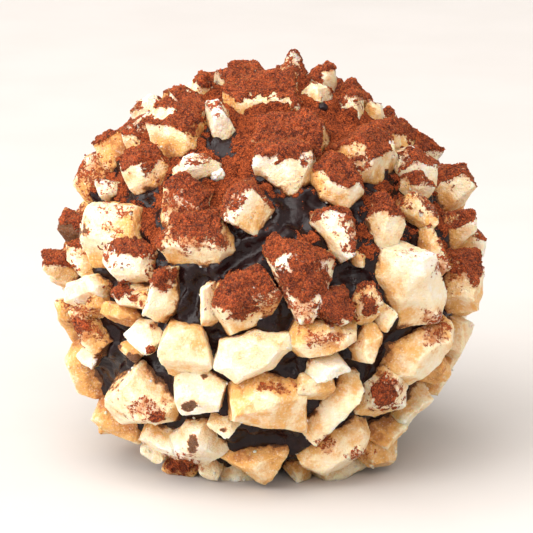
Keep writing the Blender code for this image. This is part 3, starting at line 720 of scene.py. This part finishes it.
def cocoa_group(cocoa):
    """Cocoa that lies where Amount is high and speckles where Thin is: its cover, colour and height."""
    existing = bpy.data.node_groups.get("cocoa_dusting")
    if existing:
        return existing
    group, given, out = new_group(
        "cocoa_dusting",
        [("Amount", "NodeSocketFloat", 0.0), ("Thin", "NodeSocketFloat", 0.0)],
        [(name, "NodeSocketFloat") for name in ("Cover", "Height")] + [("Colour", "NodeSocketColor")],
    )
    amount, thin = given.outputs["Amount"], given.outputs["Thin"]
    place = add_node(group, "ShaderNodeTexCoord").outputs["Object"]
    drifts = patchy(group, place, 0.9 * MM)
    grains, tone = granules(group, place, 0.14 * MM)
    crumbly = patchy(group, place, 0.26 * MM, 3.0, 0.7)
    level = maths(group, "MULTIPLY_ADD", drifts, 0.45, amount)
    level = maths(group, "MULTIPLY_ADD", tone, 0.35, level)
    lying = maths(group, "MULTIPLY", ramp(group, level, 0.66, 0.84), ramp(group, amount, 0.02, 0.12))
    level = maths(group, "MULTIPLY_ADD", drifts, 0.5, maths(group, "MULTIPLY", thin, 0.7))
    level = maths(group, "MULTIPLY_ADD", crumbly, 0.4, level)
    speckles = ramp(group, maths(group, "MULTIPLY_ADD", tone, 0.6, level), 1.2, 1.34)
    speckles = maths(group, "MULTIPLY", speckles, ramp(group, thin, 0.02, 0.2))
    # The cocoa's colour: a tone that differs at random from grain to grain and patch to patch, with painted
    # shade between the grains and painted light on their tops
    shade = maths(group, "MULTIPLY_ADD", tone, 0.5, maths(group, "MULTIPLY", drifts, 0.3))
    shade = maths(group, "MULTIPLY_ADD", crumbly, 0.4, shade)
    shade = ramp(group, maths(group, "MULTIPLY_ADD", grains, 0.4, shade), 0.35, 1.35)
    colour = mix_colours(group, shade, opaque(cocoa.dark), opaque(cocoa.light))
    group.links.new(maths(group, "MAXIMUM", lying, speckles), out.inputs["Cover"])
    group.links.new(colour, out.inputs["Colour"])
    group.links.new(maths(group, "MULTIPLY_ADD", crumbly, 0.8, grains), out.inputs["Height"])
    return group


def new_material(name):
    """A material with its tree, shader and place on the object, ready to be wired."""
    made = bpy.data.materials.new(name)
    made.use_nodes = True
    tree = made.node_tree
    shader = tree.nodes["Principled BSDF"]
    place = add_node(tree, "ShaderNodeTexCoord").outputs["Object"]
    return made, tree, shader, place


def attribute(tree, name):
    """A number that the piece's points carry."""
    made = add_node(tree, "ShaderNodeAttribute", attribute_name=name, attribute_type="GEOMETRY")
    return made.outputs["Fac"]


def link(tree, value, shader, socket):
    tree.links.new(value, shader.inputs[socket])


def bump(tree, height, distance, strength=1.0, below=None):
    inputs = [("Height", height), ("Distance", distance), ("Strength", strength)]
    if below is not None:
        inputs.append(("Normal", below))
    return add_node(tree, "ShaderNodeBump", inputs).outputs["Normal"]


def dust_with_cocoa(tree, cocoa, colour, thin):
    """Lays the cocoa over a colour: the new colour, how much is covered and the height of its grains."""
    dusting = add_node(tree, "ShaderNodeGroup", node_tree=cocoa_group(cocoa))
    tree.links.new(attribute(tree, "cocoa"), dusting.inputs["Amount"])
    tree.links.new(thin, dusting.inputs["Thin"])
    cover = dusting.outputs["Cover"]
    covered = mix_colours(tree, cover, colour, dusting.outputs["Colour"])
    return covered, cover, maths(tree, "MULTIPLY", dusting.outputs["Height"], cover)


def nut_material(nuts, chocolate, cocoa):
    """Broken nut: cream to golden, with painted warm shade low on its sides and painted shade where it meets
    the chocolate, stained by chocolate, rubbed and dusted with cocoa.
    """
    made, tree, shader, place = new_material("chopped_nut")
    broad = patchy(tree, place, 3.0 * MM)
    patches = patchy(tree, place, 1.1 * MM)
    grain = patchy(tree, place, 0.3 * MM, 4.0, 0.7)
    edge = attribute(tree, "edge")
    # The roast a chip carries holds painted warm shade low on its sides as well as its own roast
    roast = maths(tree, "MULTIPLY_ADD", broad, 0.55, attribute(tree, "roast"))
    roast = maths(tree, "MULTIPLY_ADD", patches, 0.35, roast)
    roast = maths(tree, "MULTIPLY_ADD", grain, 0.2, roast)
    roast = maths(tree, "MULTIPLY_ADD", edge, -0.35, roast)
    colour = mix_colours(tree, ramp(tree, roast, 0.35, 0.95), opaque(nuts.cream), opaque(nuts.butter))
    colour = mix_colours(tree, ramp(tree, roast, 0.85, 1.5), colour, opaque(nuts.golden))
    colour = mix_colours(tree, ramp(tree, roast, 1.45, 1.95), colour, opaque(nuts.toasted))
    crystals, tone = granules(tree, place, 0.16 * MM)
    flecks = maths(tree, "MULTIPLY", ramp(tree, tone, 0.6, 0.75), maths(tree, "MULTIPLY", crystals, 0.4))
    colour = mix_colours(tree, flecks, colour, opaque(nuts.cream))
    thin = attribute(tree, "thin")
    film = maths(tree, "MULTIPLY_ADD", patches, 0.35, thin)
    film = maths(tree, "MULTIPLY", ramp(tree, film, 0.4, 1.15), ramp(tree, thin, 0.02, 0.2))
    caught = maths(tree, "MULTIPLY", ramp(tree, edge, 0.2, 0.8), ramp(tree, broad, 0.45, 0.9))
    film = maths(tree, "MAXIMUM", film, maths(tree, "MULTIPLY", caught, 0.6))
    colour = mix_colours(tree, maths(tree, "MULTIPLY", film, 0.9), colour, opaque(nuts.rubbed))
    # Stain and painted shade: toasted, then as dark as melted chocolate, where chocolate smudged the nut and
    # where the chip meets the chocolate
    stain = maths(tree, "MULTIPLY_ADD", patches, 0.4, attribute(tree, "stain"))
    stain = maths(tree, "MULTIPLY_ADD", grain, 0.2, stain)
    colour = mix_colours(tree, ramp(tree, stain, 0.55, 1.0), colour, opaque(nuts.toasted))
    melted = ramp(tree, stain, 0.92, 1.04)
    smear = [0.7 * dark + 0.3 * brown for dark, brown in zip(chocolate.colour, nuts.toasted)]
    colour = mix_colours(tree, melted, colour, opaque(smear))
    colour, cover, powder = dust_with_cocoa(tree, cocoa, colour, thin)
    link(tree, colour, shader, "Base Color")
    roughness = maths(tree, "MULTIPLY_ADD", grain, 0.25, 0.40)
    roughness = maths(tree, "MULTIPLY_ADD", melted, -0.2, roughness)
    link(tree, maths(tree, "MAXIMUM", roughness, cover), shader, "Roughness")
    pitted = bump(tree, crystals, 0.04 * MM, 0.7, bump(tree, grain, 0.12 * MM, 0.8))
    link(tree, bump(tree, powder, 0.2 * MM, 0.9, pitted), shader, "Normal")
    shader.inputs["Specular IOR Level"].default_value = 0.4
    shader.inputs["Subsurface Weight"].default_value = 0.45
    shader.inputs["Subsurface Radius"].default_value = (1.0, 0.5, 0.2)
    shader.inputs["Subsurface Scale"].default_value = 1.1 * MM
    return made


def chocolate_material(chocolate, cocoa):
    """Dark chocolate, glossy and wavy, with a painted sheen on the crests of its waves and cocoa settled on
    its upper side.
    """
    made, tree, shader, place = new_material("dark_chocolate")
    waves = patchy(tree, place, 2.2 * MM, 3.0, 0.5)
    ripples = patchy(tree, place, 0.5 * MM, 3.0, 0.6)
    # Painted sheen: the chocolate is coloured lighter on the crests of its waves
    painted_sheen_colour = [value * 1.8 + 0.002 for value in chocolate.colour]
    painted_sheen_on_crests = maths(tree, "MULTIPLY", waves, ripples)
    colour = mix_colours(tree, painted_sheen_on_crests, opaque(chocolate.colour), opaque(painted_sheen_colour))
    colour, cover, powder = dust_with_cocoa(tree, cocoa, colour, attribute(tree, "thin"))
    link(tree, colour, shader, "Base Color")
    roughness = maths(tree, "MULTIPLY_ADD", waves, 0.2, 0.14)
    link(tree, maths(tree, "MAXIMUM", roughness, cover), shader, "Roughness")
    wavy = bump(tree, waves, 0.3 * MM, 0.45)
    rippled = bump(tree, ripples, 0.04 * MM, 0.4, wavy)
    link(tree, bump(tree, powder, 0.2 * MM, 0.9, rippled), shader, "Normal")
    shader.inputs["Specular IOR Level"].default_value = 0.22
    return made


def cocoa_material(cocoa):
    """Loose cocoa grains, each a little lighter or darker than the next."""
    made, tree, shader, place = new_material("cocoa_powder")
    shade = patchy(tree, place, 0.3 * MM, 4.0, 0.75)
    link(tree, mix_colours(tree, shade, opaque(cocoa.dark), opaque(cocoa.light)), shader, "Base Color")
    shader.inputs["Roughness"].default_value = 1.0
    shader.inputs["Specular IOR Level"].default_value = 0.2
    return made


def stage_material():
    """A matt warm white floor."""
    made, tree, shader, place = new_material("stage_paper")
    mottle = ramp(tree, noise(tree, place, 60.0, 5.0), 0.3, 0.7)
    link(tree, mix_colours(tree, mottle, PAPER, PAPER_LIGHTER), shader, "Base Color")
    shader.inputs["Roughness"].default_value = 0.9
    return made


# ---------------------------------------------------------------------------------------------
# Chopped nuts
# ---------------------------------------------------------------------------------------------


def side_planes(outline, rings):
    """A point on each flat side that the rings of an outline make, and the way it faces."""
    below = [Vector((x, y, 0.0)) for x, y in outline]
    for height, width in rings:
        above = [Vector((x * width, y * width, height)) for x, y in outline]
        for i, corner in enumerate(below):
            along = below[(i + 1) % len(below)] - corner
            yield corner, along.cross(above[i] - corner).normalized()
        below = above


def facet_plane(toward, start, slope):
    """A plane that starts `start` out on the unit shape's top and falls away at `slope` degrees."""
    side = Vector((math.cos(math.radians(toward)), math.sin(math.radians(toward)), 0.0))
    fall = math.radians(slope)
    outward = side * math.sin(fall) + Vector((0.0, 0.0, math.cos(fall)))
    return side * start + Vector((0.0, 0.0, 1.0)), outward


def model_nut_shape(name):
    """Chops a block into one of the nut shapes, in unit size."""
    outline, rings, facets = SHAPES[name]
    deselect_all()
    bpy.ops.mesh.primitive_cube_add(size=2.0, location=(0.0, 0.0, 0.5), scale=(1.0, 1.0, 0.5))
    bpy.ops.object.transform_apply(location=True, rotation=True, scale=True)
    shape = bpy.context.active_object
    shape.name = f"{name}_shape"
    start_editing(shape)
    for point, outward in side_planes(outline, rings):
        cut_away(point, outward)
    for facet in facets:
        cut_away(*facet_plane(*facet))
    stop_editing()
    return shape


def copy_chip(shape, chip):
    """The chip's own copy of its shape, at its size and place."""
    mesh = shape.data.copy()
    mesh.transform(chip.place())
    piece = bpy.data.objects.new(f"chip_{chip.number:03d}", mesh)
    bpy.context.scene.collection.objects.link(piece)
    return piece


def evened_out(mesh, values, rounds):
    """Averages rows of values over neighbouring points, that many times over."""
    ends = np.empty(len(mesh.edges) * 2, dtype=int)
    mesh.edges.foreach_get("vertices", ends)
    first, second = ends.reshape(-1, 2).T
    near = np.bincount(ends, minlength=len(values))[:, None]
    for _ in range(rounds):
        total = np.zeros_like(values)
        np.add.at(total, first, values[second])
        np.add.at(total, second, values[first])
        values = total / near
    return values


def how_sharp(mesh, rounds):
    """How far each point stands out from its neighbours: 0 on a flat face, above 0 on an edge."""
    points = points_of(mesh)
    return ((points - evened_out(mesh, points, rounds)) * normals_of(mesh)).sum(axis=1)


def break_chip(piece, chip, nuts, textures):
    """Gives a chip its own cuts, broken faces and crumbled edges, and trims what is hidden."""
    draw = random.Random(chip.number)
    place = chip.place()
    kinds = [(OWN_CUT_START, OWN_CUT_SLOPE)] + [(SPLINTER_START, SPLINTER_SLOPE)] * nuts.splinters
    start_editing(piece)
    for starts, slopes in kinds:
        point, outward = facet_plane(draw.uniform(0.0, 360.0), draw.uniform(*starts), draw.uniform(*slopes))
        outward = (place.inverted().transposed().to_3x3() @ outward).normalized()
        cut_away(place @ point, outward)
    cut_away(BALL_MIDDLE + chip.way * (reach_toward(chip.way) - nuts.root_depth), -chip.way)
    stop_editing()
    spacing = nuts.front_grid if chip.number < len(FRONT_CHIPS) else nuts.back_grid
    grid = piece.modifiers.new("grid", "REMESH")
    grid.mode = "SHARP"
    grid.octree_depth = GRID_DEPTH
    grid.scale = min(0.99, max(piece.dimensions) / (spacing * 2**GRID_DEPTH))
    displace(piece, textures["scallops"], nuts.scallops, still=0.3)
    displace(piece, textures["swell"], nuts.swell)
    soften = piece.modifiers.new("soften", "SMOOTH")
    soften.iterations = 1
    soften.factor = SOFTENED
    apply_modifiers(piece)
    edge = smooth_step(*EDGE_SHARPNESS, how_sharp(piece.data, EDGE_ROUNDS) / spacing)
    set_attribute(piece.data, "edge", edge)
    group_by_level(piece, "edge", edge, EDGE_STEPS)
    displace(piece, textures["crumble"], nuts.crumble, "edge", still=0.75)
    displace(piece, textures["pits"], nuts.pits)
    thin_out = piece.modifiers.new("thin_out", "DECIMATE")
    thin_out.ratio = TRIANGLES_KEPT
    apply_modifiers(piece)
    piece.vertex_groups.clear()
    if min(point.co.z for point in piece.data.vertices) < 0.0:
        start_editing(piece)
        cut_away((0.0, 0.0, 0.0), (0.0, 0.0, -1.0))
        stop_editing()
    set_attribute(piece.data, "roast", chip.roast)
    set_attribute(piece.data, "dust", chip.dust)


def cells(name, size):
    """A texture of rounded, dished cells that many metres wide, for Displace."""
    made = bpy.data.textures.new(name, "VORONOI")
    made.noise_scale = size
    made.distance_metric = "DISTANCE_SQUARED"
    return made


# ---------------------------------------------------------------------------------------------
# Where chocolate and cocoa get to
# ---------------------------------------------------------------------------------------------


def stain_and_shade_near_chocolate(mesh):
    """Marks where a chip is smudged, soaked and shaded: more roast low on its sides, partly soaked oil and
    partly painted warm shade; a dark rim just above the chocolate, partly smeared chocolate and partly
    painted shade; and the listed smudges.
    """
    points = points_of(mesh)
    away = points - np.array(BALL_MIDDLE)
    far = np.linalg.norm(away, axis=1)
    above = far - ball_reach(away / far[:, None])
    # Painted warm shade and soaked chocolate oil: more roast low on the chip, just above the chocolate
    soaked_and_shaded = 1.0 - smooth_step(*SOAKED_AND_SHADED_HEIGHT, above)
    set_attribute(mesh, "roast", get_attribute(mesh, "roast") + SOAKED_AND_SHADED_ROAST * soaked_and_shaded)
    # Painted shade and smeared chocolate: a ragged dark rim where the chip meets the chocolate
    above -= wandering(points, RIM_RAGGEDNESS)
    rim = 1.0 - smooth_step(*RIM_HEIGHT, above)
    set_attribute(mesh, "stain", np.maximum(rim, marks_on(points, CHOCOLATE_SMUDGES)))


def open_to_sky(points, normals, cover):
    """The share of the falling cocoa that reaches each point past the chips above it."""
    falls = [Vector(way).normalized() for way in FALLING_WAYS]
    starts = points + normals * FALL_CLEARS + np.array((0.0, 0.0, FALL_STARTS))
    share = np.empty(len(points))
    for i, start in enumerate(starts):
        start = Vector(start)
        share[i] = sum(cover.ray_cast(start, way, FALL_LENGTH)[0] is None for way in falls)
    return share / len(falls)


def settle_cocoa(piece, cover, dust, bare, touched):
    """Works out how much cocoa lies on each point of a piece, and how much is rubbed thinly over it.

    It leaves the marks in `bare` free, and lays the dabs and rubs where the piece was touched: 1 or 0.
    """
    mesh = piece.data
    points, normals = points_of(mesh), normals_of(mesh)
    high = (points[:, 2] - BALL_MIDDLE.z) / BALL_RADIUS
    open_sky = open_to_sky(points, normals, cover)
    drifted = 1.0 + wandering(points, COCOA_PATCHES)
    facing_up = normals[:, 2] + 0.1 * high
    amount = smooth_step(*COCOA_SLOPES, facing_up) * smooth_step(*COCOA_HEIGHTS, high)
    amount = amount * open_sky * dust * drifted
    amount = np.maximum(amount, DAB_AMOUNT * marks_on(points, COCOA_DABS) * touched)
    kept = 1.0 - marks_on(points, bare)
    amount = np.clip(amount * kept, 0.0, 1.0)
    set_attribute(mesh, "cocoa", amount)
    thin = smooth_step(*FILM_SLOPES, facing_up + wandering(points, FILM_PATCHES))
    thin = thin * smooth_step(*FILM_HEIGHTS, high)
    thin = FILM_AMOUNT * thin * (0.4 + 0.6 * open_sky) * np.minimum(dust, 1.1)
    thin = np.maximum(thin, 1.2 * evened_out(mesh, amount[:, None], FILM_ROUNDS)[:, 0])
    thin = np.maximum(thin, RUB_AMOUNT * marks_on(points, COCOA_RUBS) * touched)
    set_attribute(mesh, "thin", np.clip(thin * kept, 0.0, 1.0))
    group_by_level(piece, "cocoa", amount, COCOA_LEVELS)


def keep_above_table(mesh):
    """Flattens what would reach below the table."""
    points = points_of(mesh)
    points[:, 2] = np.maximum(points[:, 2], TABLE)
    set_points(mesh, points)


def pile_cocoa(piece, cocoa, mounds, drifts):
    """Raises the surface into the uneven layer of cocoa that lies on it."""
    displace(piece, mounds, cocoa.mounds, "cocoa", still=0.35)
    displace(piece, drifts, cocoa.thickness * 2.0, "cocoa", still=0.25)
    apply_modifiers(piece)
    piece.vertex_groups.clear()
    keep_above_table(piece.data)


def add_piece(piece, material):
    """Finishes a piece: its material, smooth shading and its place in the frame."""
    piece.data.materials.clear()
    piece.data.materials.append(material)
    select_only(piece)
    bpy.ops.object.shade_smooth()
    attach(piece, "root")


def finished_pieces(prefix):
    return [thing for thing in bpy.data.objects if thing.type == "MESH" and thing.name.startswith(prefix)]


# ---------------------------------------------------------------------------------------------
# Operators
# ---------------------------------------------------------------------------------------------


class TRUFFLE_OT_chocolate(bpy.types.Operator):
    """Model the chocolate ball, climbing the sides of the chips and wavy between them"""

    bl_idname = "truffle.chocolate"
    bl_label = "Chocolate"

    def execute(self, context):
        settings = context.scene.truffle_chocolate
        deselect_all()
        bpy.ops.mesh.primitive_ico_sphere_add(subdivisions=7, radius=BALL_RADIUS, location=BALL_MIDDLE)
        bpy.ops.object.transform_apply(location=True, rotation=True, scale=True)
        ball = context.active_object
        ball.name = ball.data.name = "chocolate_ball"
        points = points_of(ball.data)
        ways = points - np.array(BALL_MIDDLE)
        ways /= np.linalg.norm(ways, axis=1)[:, None]
        reach = ball_reach(ways) + self.climb(ways, settings)
        reach += CROWN_FILL * smooth_step(*CROWN_RISE, ways[:, 2])
        points = np.array(BALL_MIDDLE) + ways * reach[:, None]
        points[:, 2] = np.maximum(points[:, 2], BALL_FOOT)
        set_points(ball.data, points)
        displace(ball, clouds("chocolate_waves", CHOCOLATE_LUMPS, 1), settings.waves)
        apply_modifiers(ball)
        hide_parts("truffle")
        return {"FINISHED"}

    def climb(self, ways, settings):
        """How far the chocolate is drawn up beside the chips in each direction."""
        height = np.zeros(len(ways))
        for chip in coat_chips():
            near = np.flatnonzero(ways @ np.array(chip.way) > CLIMB_REACH)
            spots = ways[near] * BALL_RADIUS + np.array(BALL_MIDDLE)
            local = np.array(chip.place().inverted())
            flat = spots @ local[:2, :3].T + local[:2, 3]
            size = min(chip.length, chip.width) / 2
            apart = (np.sqrt((flat**2).sum(axis=1)) - 1.0) * size
            wetted = settings.meniscus * (1.0 + 0.5 * uneven(spots, CLIMB_PATCHES))
            rise = wetted * np.exp(-np.clip(apart, 0.0, None) / settings.meniscus_width)
            height[near] = np.maximum(height[near], rise)
        return height - settings.meniscus * CLIMB_SETTLED


class TRUFFLE_OT_chopped_nuts(bpy.types.Operator):
    """Model the nut shapes, lay a copy of one for each chip of the coat and break its faces"""

    bl_idname = "truffle.chopped_nuts"
    bl_label = "Chopped nuts"

    def execute(self, context):
        nuts = context.scene.truffle_nuts
        shapes = {name: model_nut_shape(name) for name in SHAPES}
        textures = {
            "scallops": cells("nut_scallops", SCALLOP_WIDTH),
            "swell": clouds("nut_swell", SWELL_WIDTH, 1),
            "crumble": clouds("nut_crumble", CRUMBLE_WIDTH, 2),
            "pits": clouds("nut_pits", PIT_WIDTH, 2),
        }
        made = {name: [] for name in SHAPES}
        for chip in coat_chips():
            piece = copy_chip(shapes[chip.shape], chip)
            break_chip(piece, chip, nuts, textures)
            made[chip.shape].append(piece)
        for name, pieces in made.items():
            joined = join_as(f"nut_{name}s", pieces)
            stain_and_shade_near_chocolate(joined.data)
            bpy.data.objects.remove(shapes[name])
        self.crumbs(nuts)
        return {"FINISHED"}

    def crumbs(self, nuts):
        """Scatters small crumbs of nut over the chips."""
        crumbs = join_as("nut_crumbs", [copy_of(piece) for piece in finished_pieces("nut_")])
        scatter = crumbs.modifiers.new("scatter", "NODES")
        scatter.node_group = crumb_scatter(nuts.crumb_size)
        apply_modifiers(crumbs)
        points = points_of(crumbs.data)
        set_attribute(crumbs.data, "roast", 0.3 + 0.35 * uneven(points, 1.5 * MM))
        set_attribute(crumbs.data, "dust", 0.6)
        set_attribute(crumbs.data, "edge", 0.5)
        set_attribute(crumbs.data, "stain", 0.0)


class TRUFFLE_OT_cocoa_layer(bpy.types.Operator):
    """Let cocoa settle on everything that faces up and is open to the sky, and finish those pieces"""

    bl_idname = "truffle.cocoa_layer"
    bl_label = "Cocoa layer"

    def execute(self, context):
        scene = context.scene
        cover = solid_truffle()
        mounds = clouds("cocoa_mounds", MOUND_WIDTH, 1)
        drifts = clouds("cocoa_drifts", DRIFT_WIDTH, 3)
        chocolate = chocolate_material(scene.truffle_chocolate, scene.truffle_cocoa)
        nut = nut_material(scene.truffle_nuts, scene.truffle_chocolate, scene.truffle_cocoa)
        ball = bpy.data.objects["chocolate_ball"]
        settle_cocoa(ball, cover, np.ones(len(ball.data.vertices)), COCOA_MISSED, touched=0)
        pile_cocoa(ball, scene.truffle_cocoa, mounds, drifts)
        add_piece(ball, chocolate)
        for piece in finished_pieces("nut_"):
            settle_cocoa(piece, cover, get_attribute(piece.data, "dust"), COCOA_BARE, touched=1)
            pile_cocoa(piece, scene.truffle_cocoa, mounds, drifts)
            add_piece(piece, nut)
        return {"FINISHED"}


def solid_truffle():
    """The solid truffle, to test what lies above a point or where the front is met."""
    solid = frame["nodes"]["truffle"].data
    polygons = [tuple(face.vertices) for face in solid.polygons]
    return BVHTree.FromPolygons([point.co for point in solid.vertices], polygons)


def copy_of(piece):
    """A free copy of a piece, to scatter things over."""
    twin = piece.copy()
    twin.data = piece.data.copy()
    for key in list(twin.keys()):
        del twin[key]
    twin.parent = None
    bpy.context.scene.collection.objects.link(twin)
    return twin


def new_scatter(name):
    """An empty geometry tree, and its input and output nodes."""
    tree = bpy.data.node_groups.new(name, "GeometryNodeTree")
    tree.interface.new_socket(name="Geometry", in_out="INPUT", socket_type="NodeSocketGeometry")
    tree.interface.new_socket(name="Geometry", in_out="OUTPUT", socket_type="NodeSocketGeometry")
    return tree, tree.nodes.new("NodeGroupInput"), tree.nodes.new("NodeGroupOutput")


def grain_scatter(name, per_area, grain_size, seed):
    """Geometry nodes that turn a dusted surface into loose grains lying on it."""
    tree, given, out = new_scatter(name)
    amount = add_node(tree, "GeometryNodeInputNamedAttribute", [("Name", "cocoa")], data_type="FLOAT")
    thickest = maths(tree, "POWER", amount.outputs["Attribute"], THICK_FIRST)
    grain = add_node(
        tree,
        "GeometryNodeMeshCone",
        [("Vertices", 3), ("Radius Bottom", grain_size / 2), ("Depth", grain_size * GRAIN_HEIGHT)],
    )
    density = maths(tree, "MULTIPLY", thickest, per_area)
    scatter(tree, given, out, density, grain.outputs["Mesh"], GRAIN_SIZES, seed)
    return tree


def crumb_scatter(crumb_size):
    """Geometry nodes that turn the chips into the nut crumbs stuck on them."""
    tree, given, out = new_scatter("crumb_scatter")
    crumb = add_node(tree, "GeometryNodeMeshIcoSphere", [("Radius", crumb_size / 2), ("Subdivisions", 1)])
    scatter(tree, given, out, CRUMBS_PER_AREA, crumb.outputs["Mesh"], CRUMB_SIZES, 3)
    return tree


def scatter(tree, given, out, density, thing, sizes, seed):
    """Lays real copies of a thing over the given surface, at all turns and in sizes between two."""
    points = add_node(
        tree,
        "GeometryNodeDistributePointsOnFaces",
        [("Mesh", given.outputs[0]), ("Density", density), ("Seed", seed)],
    )
    scale, turn = (
        add_node(tree, "FunctionNodeRandomValue", [("Min", low), ("Max", high)], data_type="FLOAT_VECTOR")
        for low, high in (sizes, ((0.0, 0.0, 0.0), (6.3, 6.3, 6.3)))
    )
    copies = add_node(
        tree,
        "GeometryNodeInstanceOnPoints",
        [
            ("Points", points.outputs["Points"]),
            ("Instance", thing),
            ("Rotation", turn.outputs["Value"]),
            ("Scale", scale.outputs["Value"]),
        ],
    )
    real = add_node(tree, "GeometryNodeRealizeInstances", [("Geometry", copies.outputs["Instances"])])
    tree.links.new(real.outputs["Geometry"], out.inputs[0])


class TRUFFLE_OT_cocoa_grains(bpy.types.Operator):
    """Scatter loose cocoa grains and small clumps over the cocoa layer"""

    bl_idname = "truffle.cocoa_grains"
    bl_label = "Loose cocoa"

    def execute(self, context):
        cocoa = context.scene.truffle_cocoa
        material = cocoa_material(cocoa)
        kinds = (
            ("cocoa_grains", GRAINS_PER_AREA, cocoa.grain_size, 1),
            ("cocoa_clumps", CLUMPS_PER_AREA, cocoa.clump_size, 2),
        )
        for name, per_area, size, seed in kinds:
            dusted = [copy_of(piece) for piece in finished_pieces("nut_") + finished_pieces("chocolate_ball")]
            piece = join_as(name, dusted)
            scatter = piece.modifiers.new("scatter", "NODES")
            scatter.node_group = grain_scatter(f"{name}_scatter", per_area, size, seed)
            apply_modifiers(piece)
            keep_above_table(piece.data)
            add_piece(piece, material)
        return {"FINISHED"}


class TRUFFLE_OT_stray_bits(bpy.types.Operator):
    """Set down the stray drop of chocolate and the stray bit of pale nut on the front"""

    bl_idname = "truffle.stray_bits"
    bl_label = "Stray bits"

    def execute(self, context):
        solid = solid_truffle()
        texture = clouds("stray_bit_lumps", 0.5 * MM, 1)
        for name, across, up, out, size, rough, material in STRAY_BITS:
            deselect_all()
            spot = self.met_from_front(solid, across, up, out)
            bpy.ops.mesh.primitive_ico_sphere_add(subdivisions=3, radius=size / 2 * MM, location=spot)
            bpy.ops.object.transform_apply(location=True, rotation=True, scale=True)
            piece = context.active_object
            piece.name = piece.data.name = name
            displace(piece, texture, rough * MM)
            apply_modifiers(piece)
            for label in ("cocoa", "thin", "stain", "roast", "edge"):
                set_attribute(piece.data, label, 0.0)
            add_piece(piece, bpy.data.materials[material])
        return {"FINISHED"}

    def met_from_front(self, solid, across, up, out):
        """A spot that far out from where the front view meets the solid."""
        rise, flat = math.sin(FRONT_VIEW_RISE), math.cos(FRONT_VIEW_RISE)
        toward_viewer = Vector((0.0, -flat, rise))
        start = BALL_MIDDLE + Vector((across, rise * up, flat * up)) * MM + toward_viewer * BALL_RADIUS * 3
        return solid.ray_cast(start, -toward_viewer)[0] + toward_viewer * out * MM


class TRUFFLE_OT_stage(bpy.types.Operator):
    """Set the truffle on a pale floor in soft light, with the camera"""

    bl_idname = "truffle.stage"
    bl_label = "Stage"

    def execute(self, context):
        self.sweep()
        self.lights(context)
        self.camera(context)
        context.scene.view_settings.view_transform = "Standard"
        return {"FINISHED"}

    def sweep(self):
        deselect_all()
        bpy.ops.mesh.primitive_plane_add(size=4.0, location=(0.0, 0.0, TABLE))
        floor = bpy.context.active_object
        floor.name = "stage_floor"
        start_editing(floor)
        bpy.ops.mesh.subdivide(number_cuts=3)
        stop_editing()
        bpy.ops.object.transform_apply(location=True, rotation=True, scale=True)
        floor.data.materials.append(stage_material())

    def lights(self, context):
        world = bpy.data.worlds.new("studio")
        world.use_nodes = True
        sky = world.node_tree.nodes["Background"]
        sky.inputs["Color"].default_value = SKY
        sky.inputs["Strength"].default_value = SKY_STRENGTH
        context.scene.world = world
        for softbox in SOFTBOXES:
            self.softbox(*softbox)

    def softbox(self, name, place, size, power, colour):
        deselect_all()
        bpy.ops.object.light_add(type="AREA", location=place)
        light = bpy.context.active_object
        light.name = name
        light.data.shape = "SQUARE"
        light.data.size = size
        light.data.energy = power
        light.data.color = colour
        light.rotation_euler = (BALL_MIDDLE - Vector(place)).to_track_quat("-Z", "Y").to_euler()

    def camera(self, context):
        toward = Vector((0.0, math.cos(FRONT_VIEW_RISE), -math.sin(FRONT_VIEW_RISE)))
        right = Vector((1.0, 0.0, 0.0))
        up = right.cross(toward)
        middle = BALL_MIDDLE + right * VIEW_RIGHT + up * VIEW_UP
        deselect_all()
        bpy.ops.object.camera_add(location=middle - toward * CAMERA_FAR)
        camera = context.active_object
        camera.name = "front_camera"
        camera.rotation_euler = toward.to_track_quat("-Z", "Y").to_euler()
        camera.data.lens = CAMERA_LENS
        camera.data.sensor_width = 36.0
        camera.data.clip_start = 0.01
        context.scene.camera = camera


class TRUFFLE_PT_steps(bpy.types.Panel):
    """The steps that make the truffle, in order"""

    bl_label = "Chocolate truffle"
    bl_idname = "TRUFFLE_PT_steps"
    bl_space_type = "VIEW_3D"
    bl_region_type = "UI"
    bl_category = "Truffle"

    def draw(self, context):
        for operator in OPERATORS:
            self.layout.operator(operator.bl_idname)


SETTINGS = {
    "truffle_nuts": TruffleNutSettings,
    "truffle_chocolate": TruffleChocolateSettings,
    "truffle_cocoa": TruffleCocoaSettings,
}
OPERATORS = (
    TRUFFLE_OT_chocolate,
    TRUFFLE_OT_chopped_nuts,
    TRUFFLE_OT_cocoa_layer,
    TRUFFLE_OT_cocoa_grains,
    TRUFFLE_OT_stray_bits,
    TRUFFLE_OT_stage,
)


def register():
    for name, group in SETTINGS.items():
        bpy.utils.register_class(group)
        setattr(bpy.types.Scene, name, bpy.props.PointerProperty(type=group))
    for one in (*OPERATORS, TRUFFLE_PT_steps):
        bpy.utils.register_class(one)


def unregister():
    for one in (TRUFFLE_PT_steps, *reversed(OPERATORS)):
        bpy.utils.unregister_class(one)
    for name, group in SETTINGS.items():
        delattr(bpy.types.Scene, name)
        bpy.utils.unregister_class(group)


def main():
    register()
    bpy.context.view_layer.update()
    bpy.ops.truffle.chocolate()
    bpy.ops.truffle.chopped_nuts()
    bpy.ops.truffle.cocoa_layer()
    bpy.ops.truffle.cocoa_grains()
    bpy.ops.truffle.stray_bits()
    bpy.ops.truffle.stage()


if __name__ == "__main__":
    main()
